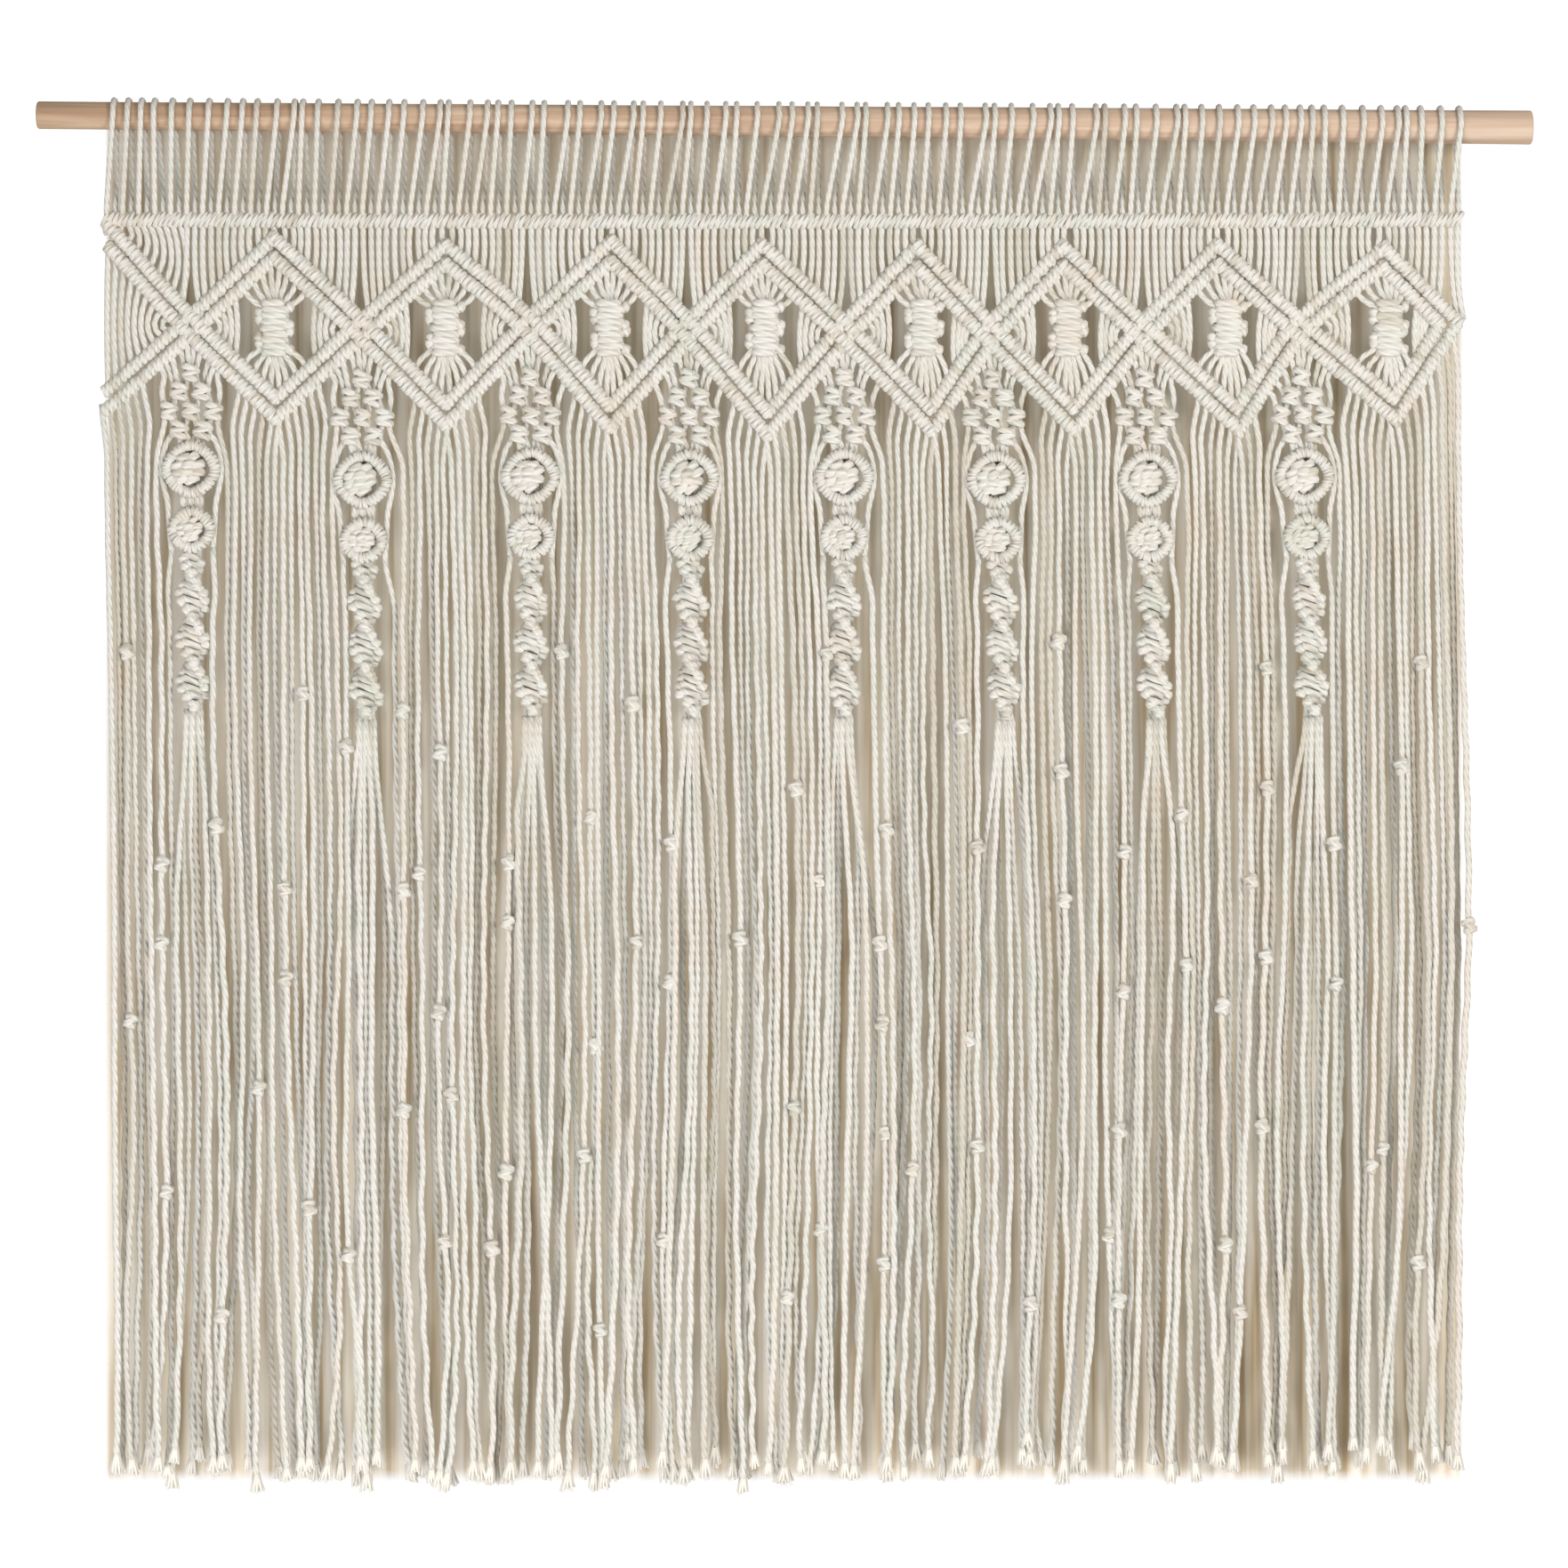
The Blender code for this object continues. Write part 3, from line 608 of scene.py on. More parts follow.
uppers = []
for number in range(STRANDS):
    x = NET_LEFT + (number + 0.5) * PITCH
    lower = height_on(UPPER_LINE, x) + 2.0
    if BAND_Z - lower < 6.0:
        continue
    corner = min(CROSSINGS, key=lambda point: abs(point[0] - x))[0]
    away = (x - corner) / BOW_REACH
    shift = math.copysign(FOOT_SHIFT + CLOSE_SHIFT * max(0.0, 1 - abs(x - corner) / CLOSE), away)
    bow = -away * UPPER_BOW if abs(away) < 1 else math.copysign(1, -away)
    if x < CROSSINGS[0][0] - 4.0:
        share = (BAND_Z - lower) / 60.0
        bow, shift = EDGE_BOW + LONG_BOW * share * (1 - share), -2.2
    bow += by_hand(0.6)
    path = bowed(x, BAND_Z, lower, bow, 1.0 + by_hand(0.6), foot_shift=shift)
    uppers.append((even_path(path, 5.0), CORD * chance.uniform(0.88, 0.98), new_tint()))
lay_cords("upper_strands", uppers)

# %% [markdown]
# ## Strands inside the diamonds
#
# Inside a diamond the strands from the upper bars part into three. Those near the left and right corners go
# down to the lower bars in arcs round the corner. The others gather into the square knots in the middle, pass
# through them, and fan out again to the lower bars. Two openings stay between the groups. The net's left edge
# has half a diamond, with arcs alone.

# %% Inside the diamonds
FREE = 0.9  # how thick a strand is where it hangs free, against the cord in a knot
EDGE_ARCS = 9
FAN = (2.6, 7.6, 12.8, 18.4)  # how far from the middle the gathered strands leave a bar
CORNER = (22.0, 26.4, 30.8, 35.2)  # the same for those that go round a corner
USUAL_HALF = 47.0  # half the width of a diamond for which those distances hold
KNOTS_TOP = -101.5
KNOTS_BOTTOM = -131.0
inside = []
for number in range(EDGE_ARCS):
    x = EDGE_BOTTOM[0] + 0.8 + 4.75 * number
    upper, lower = height_on(UPPER_LINE, x) - 3.5, height_on(LOWER_LINE, x) + 3.5
    path = bowed(x, upper, lower, -0.3 - 0.95 * number, 0.8, 0.6, 0.6)
    inside.append((even_path(path, 4.0), CORD * 0.92, new_tint()))
for number, row in enumerate(DIAMONDS):
    middle = diamond_middle(row)
    for side, corner in ((-1, CROSSINGS[number]), (1, CROSSINGS[number + 1])):
        stretch = abs(corner[0] - middle) / USUAL_HALF
        for away in CORNER:
            x = middle + side * away * stretch
            upper = height_on(UPPER_LINE, x) - 4.5
            lower = height_on(LOWER_LINE, x) + 4.5
            bow = -side * (0.8 + 4.2 * (away - 20.0) / 15.0) + by_hand(0.5)
            path = bowed(x, upper, lower, bow, 1.6 + by_hand(0.5), side * 0.8, side * 0.8)
            inside.append((even_path(path, 4.0), CORD * FREE, new_tint()))
        for order, away in enumerate(FAN):
            x = middle + side * (away + by_hand(0.4)) * stretch
            held = middle + side * (0.9 + order * 1.7)
            y = 1.4 - 0.5 * (order % 2)
            upper = height_on(UPPER_LINE, x) - 4.0
            lower = height_on(LOWER_LINE, x) + 4.0
            inwards = 2.4 * order - 1.5  # the outer ones join the knots further in
            above = [(x, y, upper), (x * 0.6 + held * 0.4, y - 1.4, (upper + KNOTS_TOP - inwards) / 2)]
            through = [(held, y - 1.8, KNOTS_TOP - inwards), (held, y - 1.2, KNOTS_BOTTOM + inwards)]
            below = [(x * 0.6 + held * 0.4, y - 1.4, (lower + KNOTS_BOTTOM + inwards) / 2), (x, y, lower)]
            inside.append((even_path(above + through + below, 4.0), CORD * FREE, new_tint()))
lay_cords("diamond_strands", inside)

# %% [markdown]
# ## Square knots in the diamonds
#
# A square knot passes its two outer cords across the inner ones, one way and then back. From the front that
# is a stack of flat turns, each a little tilted against the last, with a small bump of cord at each side. One
# flat turn, copied nine times a diamond, makes the stack.

# %% Square knots in the diamonds
flat_turn = model_turn(reach=3.1, cord=1.65, spread=3.6, widen=1.45)
side_bump = model_turn(reach=1.6, cord=1.3, spread=0.0, widen=1.3, segments=8)
TURNS = 9
STACK_TOP = KNOTS_TOP - 1.0
STACK_BOTTOM = KNOTS_BOTTOM + 1.0
BUMP_OUT = 8.4
knots, bumps = [], []
for row in DIAMONDS:
    middle = diamond_middle(row)
    for order in range(TURNS):
        z = STACK_TOP + (STACK_BOTTOM - STACK_TOP) * order / (TURNS - 1)
        tilt = by_hand(0.05)
        shift = (0.5 if order % 2 else -0.5) + by_hand(0.3)
        grow = chance.uniform(0.93, 1.05) * (0.88 if order in (0, TURNS - 1) else 1.0)
        knots.append(wound((middle + shift, -1.2, z), tilted(tilt), scale=(grow, 1.1, 1.0)))
        for side in (-1, 1):
            if (order + side) % 4 in (0, 1) and order < TURNS - 1:
                bump_at = (middle + side * BUMP_OUT + by_hand(0.4), -0.9, z - 2.0)
                bumps.append(wound(bump_at, (side * 0.35, 0.25, 1.0), scale=(1.0, 1.3, 1.7)))
wind_turns("diamond_knots", flat_turn, knots)
wind_turns("diamond_knot_bumps", side_bump, bumps)

# %% [markdown]
# ## The pendants' net
#
# Under each crossing ten strands are knotted into a small net: one square knot, then two, three and two,
# each knot taking half its strands from its two neighbours above. The strands are led through a table of
# heights. At each knot they are drawn together round its middle, which leaves small dark holes between the
# knots. Then they part: the outer two hang free, the next two pass outside the rings and hang from there,
# and the middle six pass behind the rings and become the core of a chain.

# %% The pendants' net
HALF_GROUP = 5  # strands on either side of a pendant's middle
PENDANT_KNOTS = (
    {"z": -144.5, "middles": (0.0,)},
    {"z": -155.0, "middles": (-6.4, 6.4)},
    {"z": -166.0, "middles": (-12.2, 0.0, 12.2)},
    {"z": -176.5, "middles": (-6.6, 6.6)},
)
GATHERED = 1.9  # how far apart strands are inside a small knot
NET_LIFT = 0.6  # how much of a pendant's lift its net and chain have
UNDER_BAR = -135.0  # about where a pendant's strands leave the bars
WIDER = 1.04  # how much wider than usual they stand there
BESIDE_FIRST = 3.3  # how far apart strands hang beside the first knot
BESIDE_OTHERS = 3.6
INNER_PLACE = 2.0  # the middle of the places that go into an inner knot
OUTER_PLACE = 3.5
CORE_WAY = (
    # height, sideways space between strands, depth
    {"z": -185.0, "space": 2.4, "y": 0.0},
    {"z": -200.0, "space": 2.4, "y": 4.6},
    {"z": -213.0, "space": 1.6, "y": 2.0},
    {"z": -218.5, "space": 2.2, "y": -0.8},
    {"z": -224.0, "space": 1.6, "y": 2.0},
    {"z": -235.0, "space": 2.0, "y": 4.2},
    {"z": -247.0, "space": 1.4, "y": 2.0},
    {"z": -290.0, "space": 1.0, "y": 2.6},
    {"z": -328.0, "space": 1.2, "y": 2.0},
    {"z": -337.0, "space": 1.7, "y": 0.0},
)
SIDE_WAY = ((-186.0, 14.2), (-200.0, 16.8), (-211.0, 15.4), (-219.0, 13.6), (-234.0, 12.6), (-246.0, 11.6))
PENDANT_END = -336.0
END_SHIFTS = (2.0, 3.0, 1.0, 2.0, -1.0, 8.0, 7.5, 7.5)  # how far right of its crossing each pendant ends
LIFTS = (5.0, -1.0, 1.0, 0.0, 0.5, -1.0, -0.5, 1.0)  # how much higher than the table each pendant is tied
PLACES = [place + 0.5 for place in range(-HALF_GROUP, HALF_GROUP)]  # -4.5 to 4.5, from left to right


def pendant_x(number, z):
    """The middle of a pendant at a height: it drifts a little to one side on its way down."""
    left, top = CROSSINGS[number]
    return left + END_SHIFTS[number] * (top - z) / (top - PENDANT_END)


def pendant_strand(number, place):
    """The path of one of a pendant's strands, from the bar to where it hangs free or the pendant ends."""
    lift = LIFTS[number] * NET_LIFT
    away = abs(place)
    x = pendant_x(number, UNDER_BAR) + place * PITCH * WIDER
    y = 0.8 if round(place + 0.5) % 2 else -0.7
    points = [(x, 0.5, height_on(LOWER_LINE, x) - 3.0)]
    for row_number, row in enumerate(PENDANT_KNOTS):
        z = row["z"] + lift
        if z > points[-1][2] - 3.0:
            continue
        if row_number in (0, 2) and away < 2:
            offset = away * GATHERED
        elif row_number == 0:
            offset = away * BESIDE_FIRST
        elif row_number == 2:
            offset = row["middles"][-1] + (away - OUTER_PLACE) * GATHERED
        elif away < 4:
            offset = row["middles"][-1] + (away - INNER_PLACE) * GATHERED
        else:
            offset = away * BESIDE_OTHERS
        points.append((pendant_x(number, z) + math.copysign(offset, place), y, z))
        if row_number == 2 and away > 4:
            return even_path(points, 3.5)
    if away > 3:
        for z, offset in SIDE_WAY:
            z += LIFTS[number]
            points.append((pendant_x(number, z) + math.copysign(offset, place), -0.4, z))
    else:
        for row in CORE_WAY:
            z = row["z"] + LIFTS[number]
            points.append((pendant_x(number, z) + place * row["space"], y * 0.6 + row["y"], z))
    return even_path(points, 3.5)


SMALL_KNOT = ((3.0, 16, 0.88), (0.0, -18, 1.0), (-3.1, 14, 0.88))  # height, tilt and size of its turns
small_turn = model_turn(reach=2.6, cord=1.6, spread=1.8, widen=1.35, segments=10)
net_strands, small_knots = [], []
for number in range(len(DIAMONDS)):
    net_strands.append([(pendant_strand(number, place), CORD * FREE, new_tint()) for place in PLACES])
    for row in PENDANT_KNOTS:
        for middle in row["middles"]:
            for up, tilt, usual in SMALL_KNOT:
                lean = math.radians(tilt + by_hand(9))
                x = pendant_x(number, row["z"]) + middle + by_hand(0.5)
                z = row["z"] + LIFTS[number] * NET_LIFT + up
                size = chance.uniform(0.9, 1.06) * usual
                small_knots.append(wound((x, -1.2, z), tilted(lean), scale=(size, 1.1, 0.95)))
lay_cords("pendant_strands", [cord for strands in net_strands for cord in strands])
wind_turns("pendant_knots", small_turn, small_knots)

# %% [markdown]
# ## Rings with a berry
#
# Below its net a pendant has two round figures, each a ring of fine hitches round a raised knot that makers
# call a berry. The hitches lie aslant on the ring and close against each other, and the ring has slight
# points above and below. The berry is a ball of short turns in four rows, furthest forward in its middle,
# and it fills the ring but for a narrow dark hollow at its right.

# %% Rings with a berry
RINGS = (
    {"z": -200.6, "half_width": 13.7, "half_height": 13.4, "turns": 36, "berry": 1.06},
    {"z": -234.6, "half_width": 10.8, "half_height": 10.4, "turns": 28, "berry": 0.86},
)
POINTED = 1.6  # 2 makes a ring round, and less gives it points above, below and at its sides
RING_SLANT = 0.42  # the angle between a hitch's axis and the ring's line
BERRY_ROWS = ((5.7, 2), (2.0, 3), (-1.9, 3), (-5.6, 2))  # height over the berry's middle, turns in the row
BERRY_SPACE = 4.7
BERRY_LEFT = 1.6  # how far left of its ring's middle a berry sits
BERRY_FORWARD = 4.6  # how far the middle of a berry stands forward
BERRY_FLAT = 95.0  # the larger, the less its edge falls back
berry_turn = model_turn(reach=2.2, cord=1.75, spread=0.8, widen=1.4, segments=10)
ring_turns, berries = [], []
for number in range(len(DIAMONDS)):
    for row in RINGS:
        middle_z = row["z"] + LIFTS[number]
        x = pendant_x(number, middle_z)
        for order in range(row["turns"]):
            angle = 2 * math.pi * (order + chance.uniform(0.38, 0.62)) / row["turns"]
            cos, sin = math.cos(angle), math.sin(angle)
            bulge = (abs(cos) ** POINTED + abs(sin) ** POINTED) ** (-1 / POINTED)
            out, up = row["half_width"] * cos * bulge, row["half_height"] * sin * bulge
            slant = angle + RING_SLANT + by_hand(0.12)
            size = chance.uniform(0.82, 0.92)
            centre = (x + out, -3.0, middle_z + up)
            ring_turns.append(wound(centre, tilted(-slant), scale=(size, size * 1.1, 0.74)))
        share = row["berry"]
        for up, count in BERRY_ROWS:
            for order in range(count):
                out = (order - (count - 1) / 2) * BERRY_SPACE + by_hand(0.4)
                forward = BERRY_FORWARD * (1 - (out**2 + up**2) / BERRY_FLAT)
                lean = math.radians(chance.uniform(-42, -4))
                centre = (x + (out - BERRY_LEFT) * share, -forward * share, middle_z + up * share)
                berries.append(wound(centre, tilted(lean), scale=(share, share * 1.2, share)))
wind_turns("rings", hitch, ring_turns)
wind_turns("berries", berry_turn, berries)

# %% [markdown]
# ## Twisted chains
#
# A chain of half knots, all tied the same way, twists by itself: every knot turns a little further round the
# core than the last, here half way round in about 24 mm. From the front that is a row of lumps, where the
# knots lie across, with narrow waists between, where they are seen from their thin side. At both ends of a
# knot the tying cord bends back, and those small bumps wind round the chain as two ridges.

# %% Twisted chains
CHAIN_TOP = -248.0
CHAIN_FOOT = -335.0
HALF_WIND = 24.2  # height in which the chain winds half way round
WIDE_AT = -268.5  # a height at which a knot lies across
KNOT_SPACE = 4.1
chain_turn = model_turn(reach=2.1, cord=1.85, spread=4.1, widen=1.15)
chain_turns, chain_bumps = [], []
for number in range(len(DIAMONDS)):
    lift = LIFTS[number] * NET_LIFT
    for order in range(round((CHAIN_TOP - CHAIN_FOOT) / KNOT_SPACE)):
        height = CHAIN_TOP - order * KNOT_SPACE
        z = height + lift + by_hand(0.3)
        wind = math.pi * (WIDE_AT - height) / HALF_WIND + by_hand(0.1)
        size = chance.uniform(0.92, 1.08) * min(1.0, 0.72 + 0.12 * order)
        x = pendant_x(number, z)
        right, back = math.cos(wind), math.sin(wind)
        turn_at = wound((x, -1.0, z), (0.32, 0.0, 1.0), across=(right, back, 0.0), scale=(size, size, 1.0))
        chain_turns.append(turn_at)
        for side in (-1, 1):
            out = side * size * chance.uniform(6.2, 7.6)
            bump_at = (x + right * out, -1.0 + back * out * 0.7, z - 2.0 - 0.3 * right * out)
            way = (chance.uniform(-0.3, 0.7), by_hand(0.2), 1.0)
            chain_bumps.append(wound(bump_at, way, scale=(1.15, 1.15, 1.45)))
wind_turns("chains", chain_turn, chain_turns)
wind_turns("chain_bumps", side_bump, chain_bumps)

# %% [markdown]
# ## The fringe
#
# All 170 strands end in the fringe. Most come straight from the lower bars, and the others from the pendants.
# They hang by their own weight, so they are nearly straight, but cotton keeps the memory of how it was wound.
# So the causes of a strand's bends are added up: a sway shared by all, a pull towards the middle of its
# group, stronger and in other groups near the foot, a small lean towards a pendant beside it, and a wander
# and small kinks of its own. Each strand also has a layer, and the layers part on the way down, so that the
# back ones lie in shade, and their tint is painted darker and greyer as well, as painted shade. A strand's
# twist comes loose on the way down too, which makes it a little thicker.

# %% The fringe
TIPS = ((-384.0, -750.0), (-250.0, -755.5), (0.0, -751.0), (250.0, -747.0), (390.0, -743.0))
EDGE_ROWS = ((0.0, NET_LEFT, NET_RIGHT), (0.5, -380.0, 386.0), (1.0, -378.0, 379.5))  # depth, left, right
DEPTH_FROM = 180.0  # how far below the rod the fringe's depth of 0 is
DEPTH_HEIGHT = 580.0  # from there to the depth of 1, at the tips
CHAINED = -300.0  # a strand that starts lower than this comes out of a chain
LED_SPACE = 7.0  # distance between the points that a strand is led through
FRINGE_CORD = 1.75
LOOSER = 0.16  # how much thicker a strand is at its foot, where its twist has come loose
SETTLES = 30.0  # how far below its root a strand hangs where it wants to
CHAINED_SETTLES = (60.0, 100.0, 140.0)  # the same for strands out of a chain, which part one after another


def ease(share):
    """A slow start and a slow end between 0 and 1."""
    share = min(1.0, max(0.0, share))
    return share * share * (3 - 2 * share)


def depth_at(z):
    """How deep in the fringe a height is, from 0 to 1."""
    return np.clip((-z - DEPTH_FROM) / DEPTH_HEIGHT, 0.0, 1.0)


def edges_at(depth):
    """The fringe's left and right edge."""
    depths = [row[0] for row in EDGE_ROWS]
    return [float(np.interp(depth, depths, [row[column] for row in EDGE_ROWS])) for column in (1, 2)]


def shared_sway(x, z):
    """How far the whole fringe sways sideways at a place."""
    return 1.1 * math.sin(x / 71.0 + z / 93.0) + 0.7 * math.sin(x / 37.0 - z / 61.0 + 2.0)


def lean_to_pendant(x, z):
    """How far a strand beside a pendant leans in to it, beside its net and below its rings."""
    middles = [pendant_x(number, -290.0) for number in range(len(DIAMONDS))]
    middle = min(middles, key=lambda pendant: abs(pendant - x))
    away = max(0.0, abs(x - middle) - 12.0)
    below_rings = 3.0 * math.exp(-away / 20.0) * ease((-z - 225.0) / 70.0) * (1 - ease((-z - 345.0) / 200.0))
    beside_net = 4.0 * math.exp(-away / 14.0) * math.exp(-(((z + 166.0) / 20.0) ** 2))
    return math.copysign(below_rings + beside_net, middle - x)


def strand_groups(smallest, largest, strongest):
    """The middle of its group and the group's pull, for each strand across the fringe."""
    middles = []
    while len(middles) < STRANDS:
        count = chance.randint(smallest, largest)
        middle = len(middles) + (count - 1) / 2
        middles += [(middle, chance.uniform(0.05, strongest))] * count
    return middles[:STRANDS]


def layer_pattern():
    """A layer for each strand: -1 at the front, 1 at the back. Neighbours are never in the same one."""
    layers = []
    for _ in range(STRANDS):
        choices = [layer for layer in (-1.0, -0.5, 0.4, 1.0) if not layers or layer != layers[-1]]
        layers.append(chance.choice(choices))
    return layers


def pendant_of(number):
    """The pendant that a strand is knotted into and the number of its place there, or None."""
    for pendant in range(len(DIAMONDS)):
        first = round((pendant_x(pendant, -200) - NET_LEFT) / PITCH) - HALF_GROUP
        if first <= number < first + 2 * HALF_GROUP:
            return pendant, number - first
    return None


def root_of(number):
    """Where a hanging strand starts: under a bar, or at the end of its way through a pendant."""
    held = pendant_of(number)
    if held:
        pendant, place_number = held
        x, y, z = net_strands[pendant][place_number][0][-1]
        return x, y, z + 1.5
    x = NET_LEFT + (number + 0.5) * PITCH
    slope = 1.0 if height_on(LOWER_LINE, x + 2) < height_on(LOWER_LINE, x - 2) else -1.0
    root_x = x + slope * 3.0
    return root_x, 0.4, height_on(LOWER_LINE, root_x) - 2.0


def hanging_path(number, upper_group, lower_group, layer):
    """The path of one hanging strand, from its root to its tip."""
    x = NET_LEFT + (number + 0.5) * PITCH
    root = root_of(number)
    chained = root[2] < CHAINED
    settles = CHAINED_SETTLES[number % 3] if chained else SETTLES
    tip = height_on(TIPS, x) + chance.gauss(0.0, 3.6)
    phase, wave = chance.uniform(0, 6.3), chance.uniform(30, 90)
    kink_phase, kink_wave = chance.uniform(0, 6.3), chance.uniform(4.4, 8.5)
    wander, kink = chance.uniform(0.5, 1.8), chance.uniform(0.15, 0.55)
    drift = chance.gauss(0.0, 3.2)
    points = [root]
    steps = round((root[2] - tip) / LED_SPACE)
    for step in range(1, steps + 1):
        z = root[2] + (tip - root[2]) * step / steps
        depth = float(depth_at(z))
        left, right = edges_at(depth)
        target = left + (right - left) * (number + 0.5) / STRANDS
        gathered = math.sin(math.pi * min(1.0, depth * 1.3))
        target += (upper_group[0] - number) * PITCH * upper_group[1] * gathered
        target += (lower_group[0] - number) * PITCH * lower_group[1] * depth**3
        target += 0.0 if chained else lean_to_pendant(x, z)
        target += shared_sway(x, z) * (0.2 + depth)
        target += wander * (0.2 + 0.8 * depth + 1.2 * depth**4) * math.sin(phase + z / wave)
        target += drift * depth**6
        kinked = math.sin(kink_phase + z / kink_wave + 1.5 * math.sin(z / 37.0 + phase))
        target += kink * (0.5 + depth) * kinked
        y = layer * (0.9 + 6.6 * depth**0.7) + 0.5 * math.sin(phase * 2 + z / 60.0)
        settled = ease((root[2] - z) / settles)
        points.append((root[0] + (target - root[0]) * settled, root[1] + (y - root[1]) * settled, z))
    return even_path(points, 5.6)


upper_groups = strand_groups(4, 9, 0.12)
lower_groups = strand_groups(2, 6, 0.7)
layers = layer_pattern()
hanging = []
for number in range(STRANDS):
    path = hanging_path(number, upper_groups[number], lower_groups[number], layers[number])
    # Painted shade: back-layer strands get a tint 0.22 higher, towards the darker, greyer end of the tints,
    # and front ones 0.05 lower.
    tint_value = min(1.0, new_tint() + (0.22 if layers[number] > 0 else -0.05))
    loose = 1 + LOOSER * depth_at(path[:, 2])
    hanging.append((path, FRINGE_CORD * chance.uniform(0.9, 1.06) * loose, tint_value))
half = STRANDS // 2
fringe_piece = lay_cords("fringe_left", hanging[:half])
lay_cords("fringe_right", hanging[half:])
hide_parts("fringe")

# %% [markdown]
# ## Frayed ends
#
# A cut end of twisted cord opens into a small brush. Each strand gets nine loose yarns that part from its end
# like a bell. They are four-sided, because there are fifteen hundred of them. Loose cotton has no twist to
# shade it and scatters light inside, so it is a paler material without relief.

# %% Frayed ends
YARNS = 9
YARN_RADII = (1.0, 0.95, 0.6)
NEXT_YARN = 2.4  # the angle from one yarn to the next, which spreads them evenly
loose_cotton, shader = new_material("loose_cotton_fibre")
set_inputs(shader, {"Base Color": linear("#EFEBE2"), "Roughness": 1.0})
set_inputs(shader, {"Specular IOR Level": 0.1, "Sheen Weight": 0.5})
yarns = []
for path, radii, tint_value in hanging:
    end = path[-1]
    way = unit(end - path[-3])
    length = chance.uniform(7.0, 11.0)
    flare = chance.uniform(2.6, 5.2)
    for yarn in range(YARNS):
        turned = NEXT_YARN * yarn
        out = math.sqrt((yarn + 0.5) / YARNS)
        outward = np.array([math.cos(turned), 0.8 * math.sin(turned), 0.0]) * out
        start = end - way * 3.0 + outward * radii[-1] * 0.5
        middle = end + way * length * 0.4 + outward * (radii[-1] * 0.7 + flare * 0.3)
        finish = end + way * length * chance.uniform(0.8, 1.1) + outward * flare
        yarns.append((np.array([start, middle, finish]), YARN_RADII, tint_value))
ends_piece = lay_cords("frayed_ends", yarns, sides=4)
ends_piece.data.materials[0] = loose_cotton

# %% [markdown]
# ## Overhand knots
#
# Scattered over the fringe are about eighty small overhand knots, each in one strand. Up close such a knot is
# three short turns lying across each other, so three turns at crossed tilts make it, strung on the strand
# where its path passes. Only strands of the front layers get one, so that each knot shows.

# %% Overhand knots
KNOT_ROWS = (-316.0, -376.0, -416.0, -452.0, -502.0, -562.0, -610.0, -654.0)
KNOTS_A_ROW = 10
OVERHAND = ((1.9, 0.4, 0.0), (0.0, -0.6, -0.8), (-1.9, 0.4, 0.0))  # height, tilt and depth of its turns
knot_turn = model_turn(reach=1.9, cord=1.5, spread=0.5, widen=1.4, segments=10)
near = [number for number in range(STRANDS) if layers[number] < 0 and root_of(number)[2] > CHAINED]
overhands = []
for row_number, row_z in enumerate(KNOT_ROWS):
    for column in range(KNOTS_A_ROW):
        wanted = (column + 0.5 + 0.5 * (row_number % 2 - 0.5) + by_hand(0.4)) / KNOTS_A_ROW
        number = min(near, key=lambda strand: abs(strand - wanted * STRANDS))
        z = row_z + by_hand(24)
        path = hanging[number][0]
        centre = path[int(np.abs(path[:, 2] - z).argmin())] + (0.0, -0.8, 0.0)
        mirrored = chance.choice((-1, 1))
        size = chance.uniform(0.95, 1.15)
        for up, tilt, forward in OVERHAND:
            at = centre + (0.35 * mirrored * up, forward, up * size)
            overhands.append(wound(at, (mirrored * tilt, 0.15, 1.0), scale=(size, size, size)))
wind_turns("overhand_knots", knot_turn, overhands)
print(len(overhands) // len(OVERHAND), "overhand knots")

# %% [markdown]
# ## Wall shade and floor
#
# The hanging is seen against a white wall, and between its strands the wall lies in their shade. A whole wall
# would hide the back of the hanging, so only the shaded part of it is there: a thin sheet 19 mm behind the
# rod's axis, that fades out at its edges and isn't seen from behind. Only the camera sees it. It has the
# soft upright streaks that the shadows of many strands make. The floor is a pale disc below.

# %% Wall shade and floor
WALL_Y = 19.0
SHADE = {"left": -385.0, "right": 384.5, "top": 8.0, "bottom": -769.0}
FADES = (("X", "left", 4), ("X", "right", -4), ("Z", "top", -8), ("Z", "bottom", 10))  # edge, way inwards
SHADE_TONES = ((0.3, "#BBA686"), (0.48, "#E2D7C3"), (0.65, "#F4EEE3"))
SHADE_STREAKS = (150.0, 1.0, 5.0)  # 7 mm wide and 200 mm high
wall_paint, shader = new_material("wall_in_shade")
place = add_node(wall_paint, "TexCoord", {}, "Object")
at = add_node(wall_paint, "Mapping", {"Vector": place, "Scale": SHADE_STREAKS})
streak = add_node(wall_paint, "TexNoise", {"Vector": at, "Scale": 1.0, "Detail": 2.0}, "Fac")
tone = add_node(wall_paint, "ValToRGB", {"Fac": streak}, stops=SHADE_TONES)
behind = add_node(wall_paint, "NewGeometry", {}, "Backfacing")
seen = add_node(wall_paint, "Math", {0: 1.0, 1: behind}, operation="SUBTRACT")
for axis, edge, inward in FADES:
    along = add_node(wall_paint, "SeparateXYZ", {"Vector": place}, axis)
    outer = SHADE[edge] * MM
    fading = {"Value": along, "From Min": outer, "From Max": outer + inward * MM}
    fade = add_node(wall_paint, "MapRange", fading, interpolation_type="SMOOTHSTEP")
    seen = add_node(wall_paint, "Math", {0: seen, 1: fade}, operation="MULTIPLY")
set_inputs(shader, {"Base Color": tone, "Alpha": seen, "Roughness": 1.0, "Specular IOR Level": 0.0})

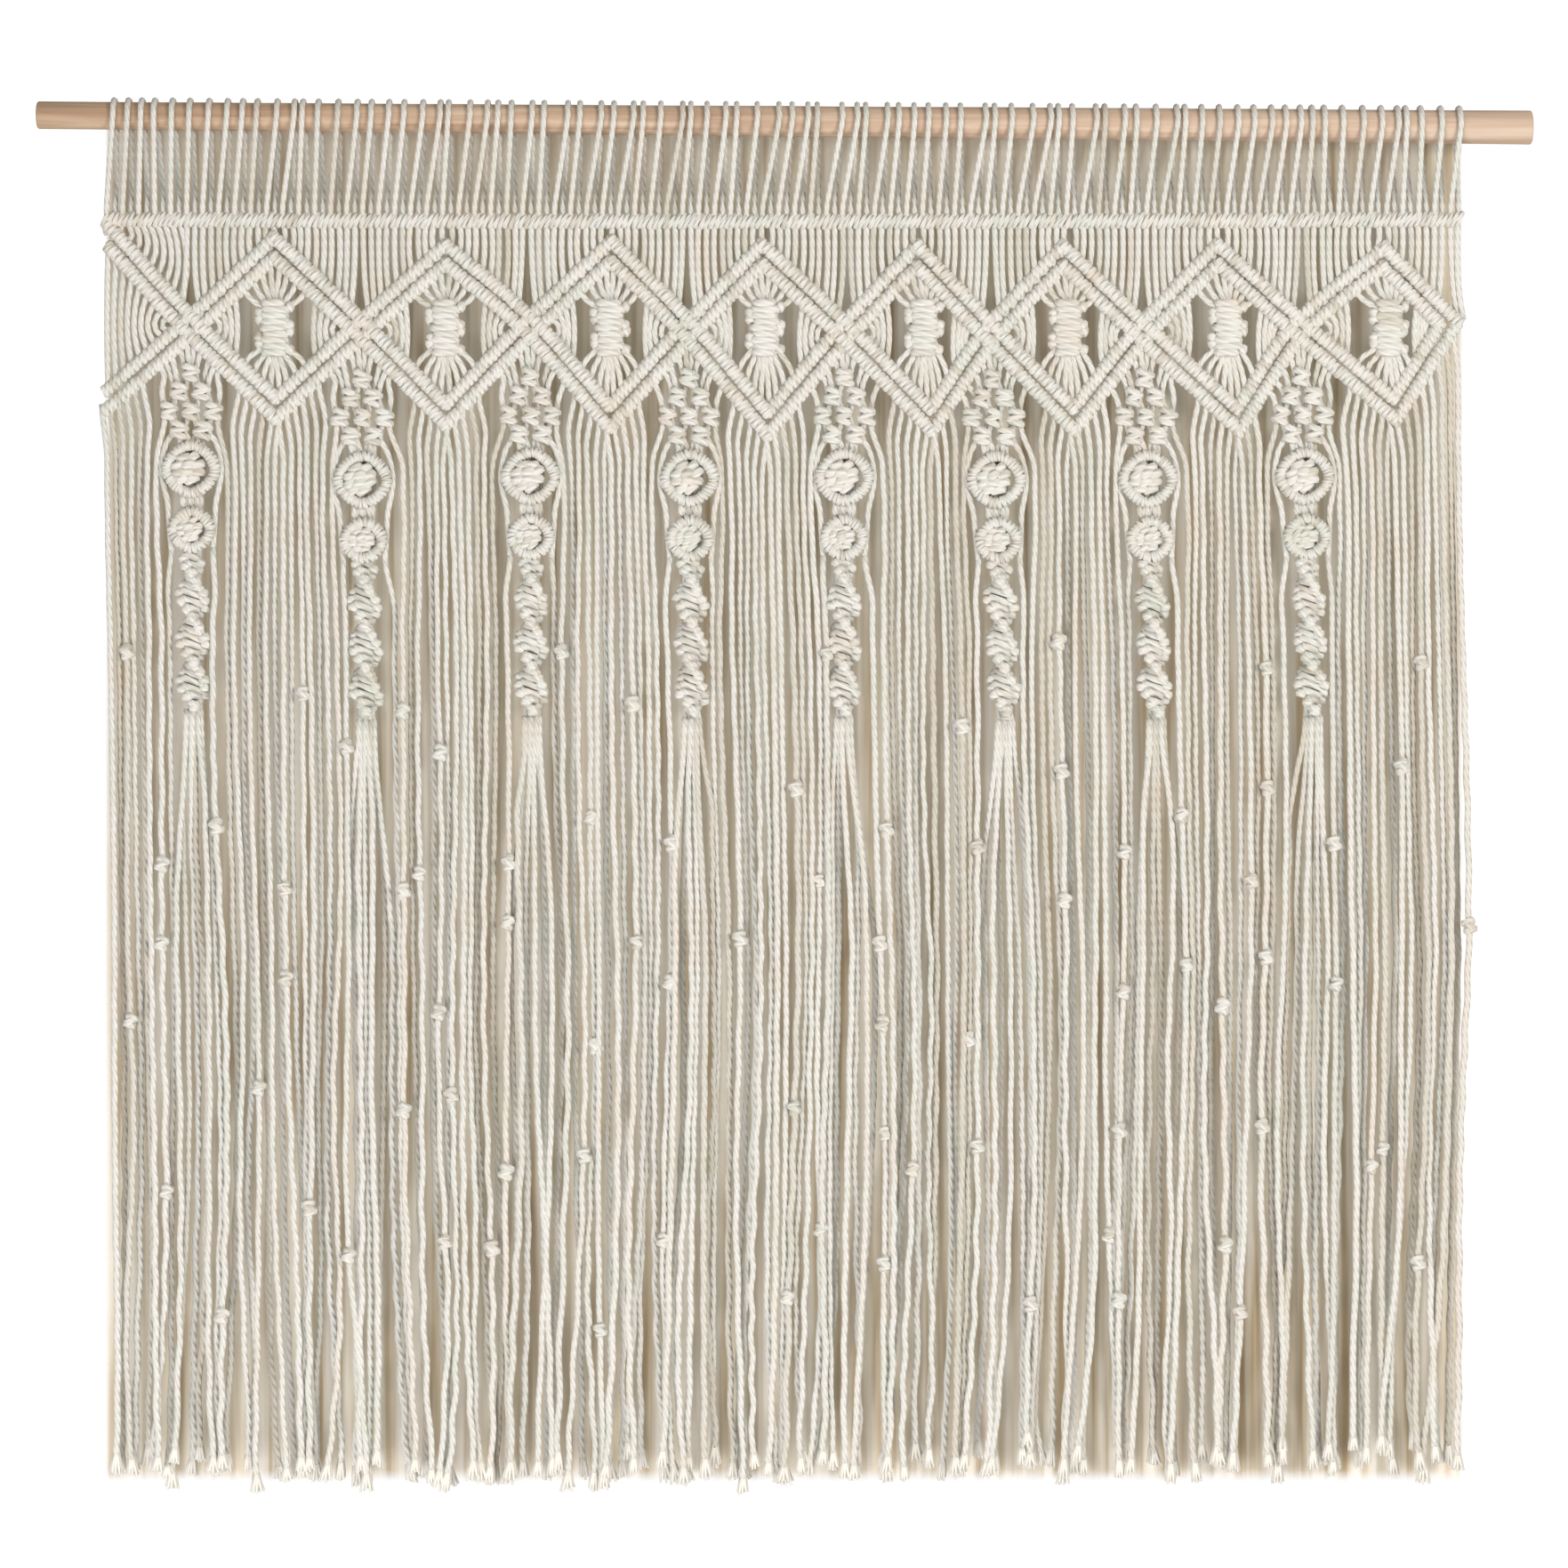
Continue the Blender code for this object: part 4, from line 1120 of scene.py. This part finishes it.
bpy.ops.object.select_all(action="DESELECT")
bpy.ops.mesh.primitive_plane_add(size=1.0, rotation=(math.pi / 2, 0.0, 0.0))
wall = bpy.context.active_object
wall.name = "wall_shade"
middle_x, middle_z = (SHADE["left"] + SHADE["right"]) / 2, (SHADE["top"] + SHADE["bottom"]) / 2
wall.location = (middle_x * MM, WALL_Y * MM, middle_z * MM)
wall.scale = ((SHADE["right"] - SHADE["left"]) * MM, (SHADE["top"] - SHADE["bottom"]) * MM, 1.0)
bpy.ops.object.transform_apply(location=True, rotation=True, scale=True)
wall.data.materials.append(wall_paint)
for ray in ("visible_diffuse", "visible_glossy", "visible_transmission", "visible_shadow"):
    setattr(wall, ray, False)

FLOOR_Z = -1.9  # metres: the hanging's foot is over a metre above the floor
floor_paint, shader = new_material("pale_floor")
set_inputs(shader, {"Base Color": linear("#F4F2EE"), "Roughness": 0.9})
bpy.ops.object.select_all(action="DESELECT")
bpy.ops.mesh.primitive_circle_add(vertices=96, radius=1.0, fill_type="NGON", location=(0.0, 0.0, FLOOR_Z))
floor = bpy.context.active_object
floor.name = "floor"
floor.data.materials.append(floor_paint)
print("wall shade", [round(value, 3) for value in wall.dimensions])

# %% [markdown]
# ## Light
#
# The photograph has a large soft light at the right and a bright room around it: strands are bright on their
# right, and their soft shadows fall to the left. An area light at the rod's height makes that, a larger one
# from below at the left keeps the foot and the left edge bright, and the world is the room. It is white to
# the camera and dimmer to everything else.

# %% Light
KEY_FROM = Vector((1.55, -2.1, 0.05))
FILL_FROM = Vector((-0.9, -1.8, -1.6))
AIM = Vector((0.0, 0.0, -0.36))


def add_area_light(name, position, size, power, colour):
    data = bpy.data.lights.new(name, "AREA")
    data.size = size
    data.energy = power
    data.color = linear(colour)[:3]
    light = bpy.data.objects.new(name, data)
    light.location = position
    light.rotation_euler = (AIM - position).to_track_quat("-Z", "Y").to_euler()
    bpy.context.scene.collection.objects.link(light)


add_area_light("key", KEY_FROM, 0.9, 37.5, "#FFFBF7")
add_area_light("fill", FILL_FROM, 1.8, 38.0, "#FBFAFC")

world = bpy.data.worlds.new("bright_room")
world.use_nodes = True
world.node_tree.nodes.clear()
bpy.context.scene.world = world
room = add_node(world, "Background", {"Color": linear("#FFFBF4"), "Strength": 0.42})
page = add_node(world, "Background", {"Color": linear("#FFFFFF"), "Strength": 1.05})
to_camera = add_node(world, "LightPath", {}, "Is Camera Ray")
mixed = add_node(world, "MixShader", {"Fac": to_camera, 1: room, 2: page})
set_inputs(world.node_tree.nodes.new("ShaderNodeOutputWorld"), {"Surface": mixed})

# %% [markdown]
# ## Camera
#
# The photograph is taken square on from a few metres away, and its 1763 pixels cover 881.5 mm of the net's
# plane. So the camera stands 3 m in front of the picture's middle, with a lens as long as that width asks.

# %% Camera
FRAME_WIDTH = 881.5
FRAME_MIDDLE = (-0.25, -372.5)
DISTANCE = 3000.0
lens = bpy.data.cameras.new("camera")
lens.sensor_width = 36.0
lens.lens = lens.sensor_width * DISTANCE / FRAME_WIDTH
camera = bpy.data.objects.new("camera", lens)
camera.location = (FRAME_MIDDLE[0] * MM, -DISTANCE * MM, FRAME_MIDDLE[1] * MM)
camera.rotation_euler = (math.pi / 2, 0.0, 0.0)
bpy.context.scene.collection.objects.link(camera)
bpy.context.scene.camera = camera
bpy.context.scene.view_settings.view_transform = "Standard"
print("lens:", round(lens.lens, 1), "mm")
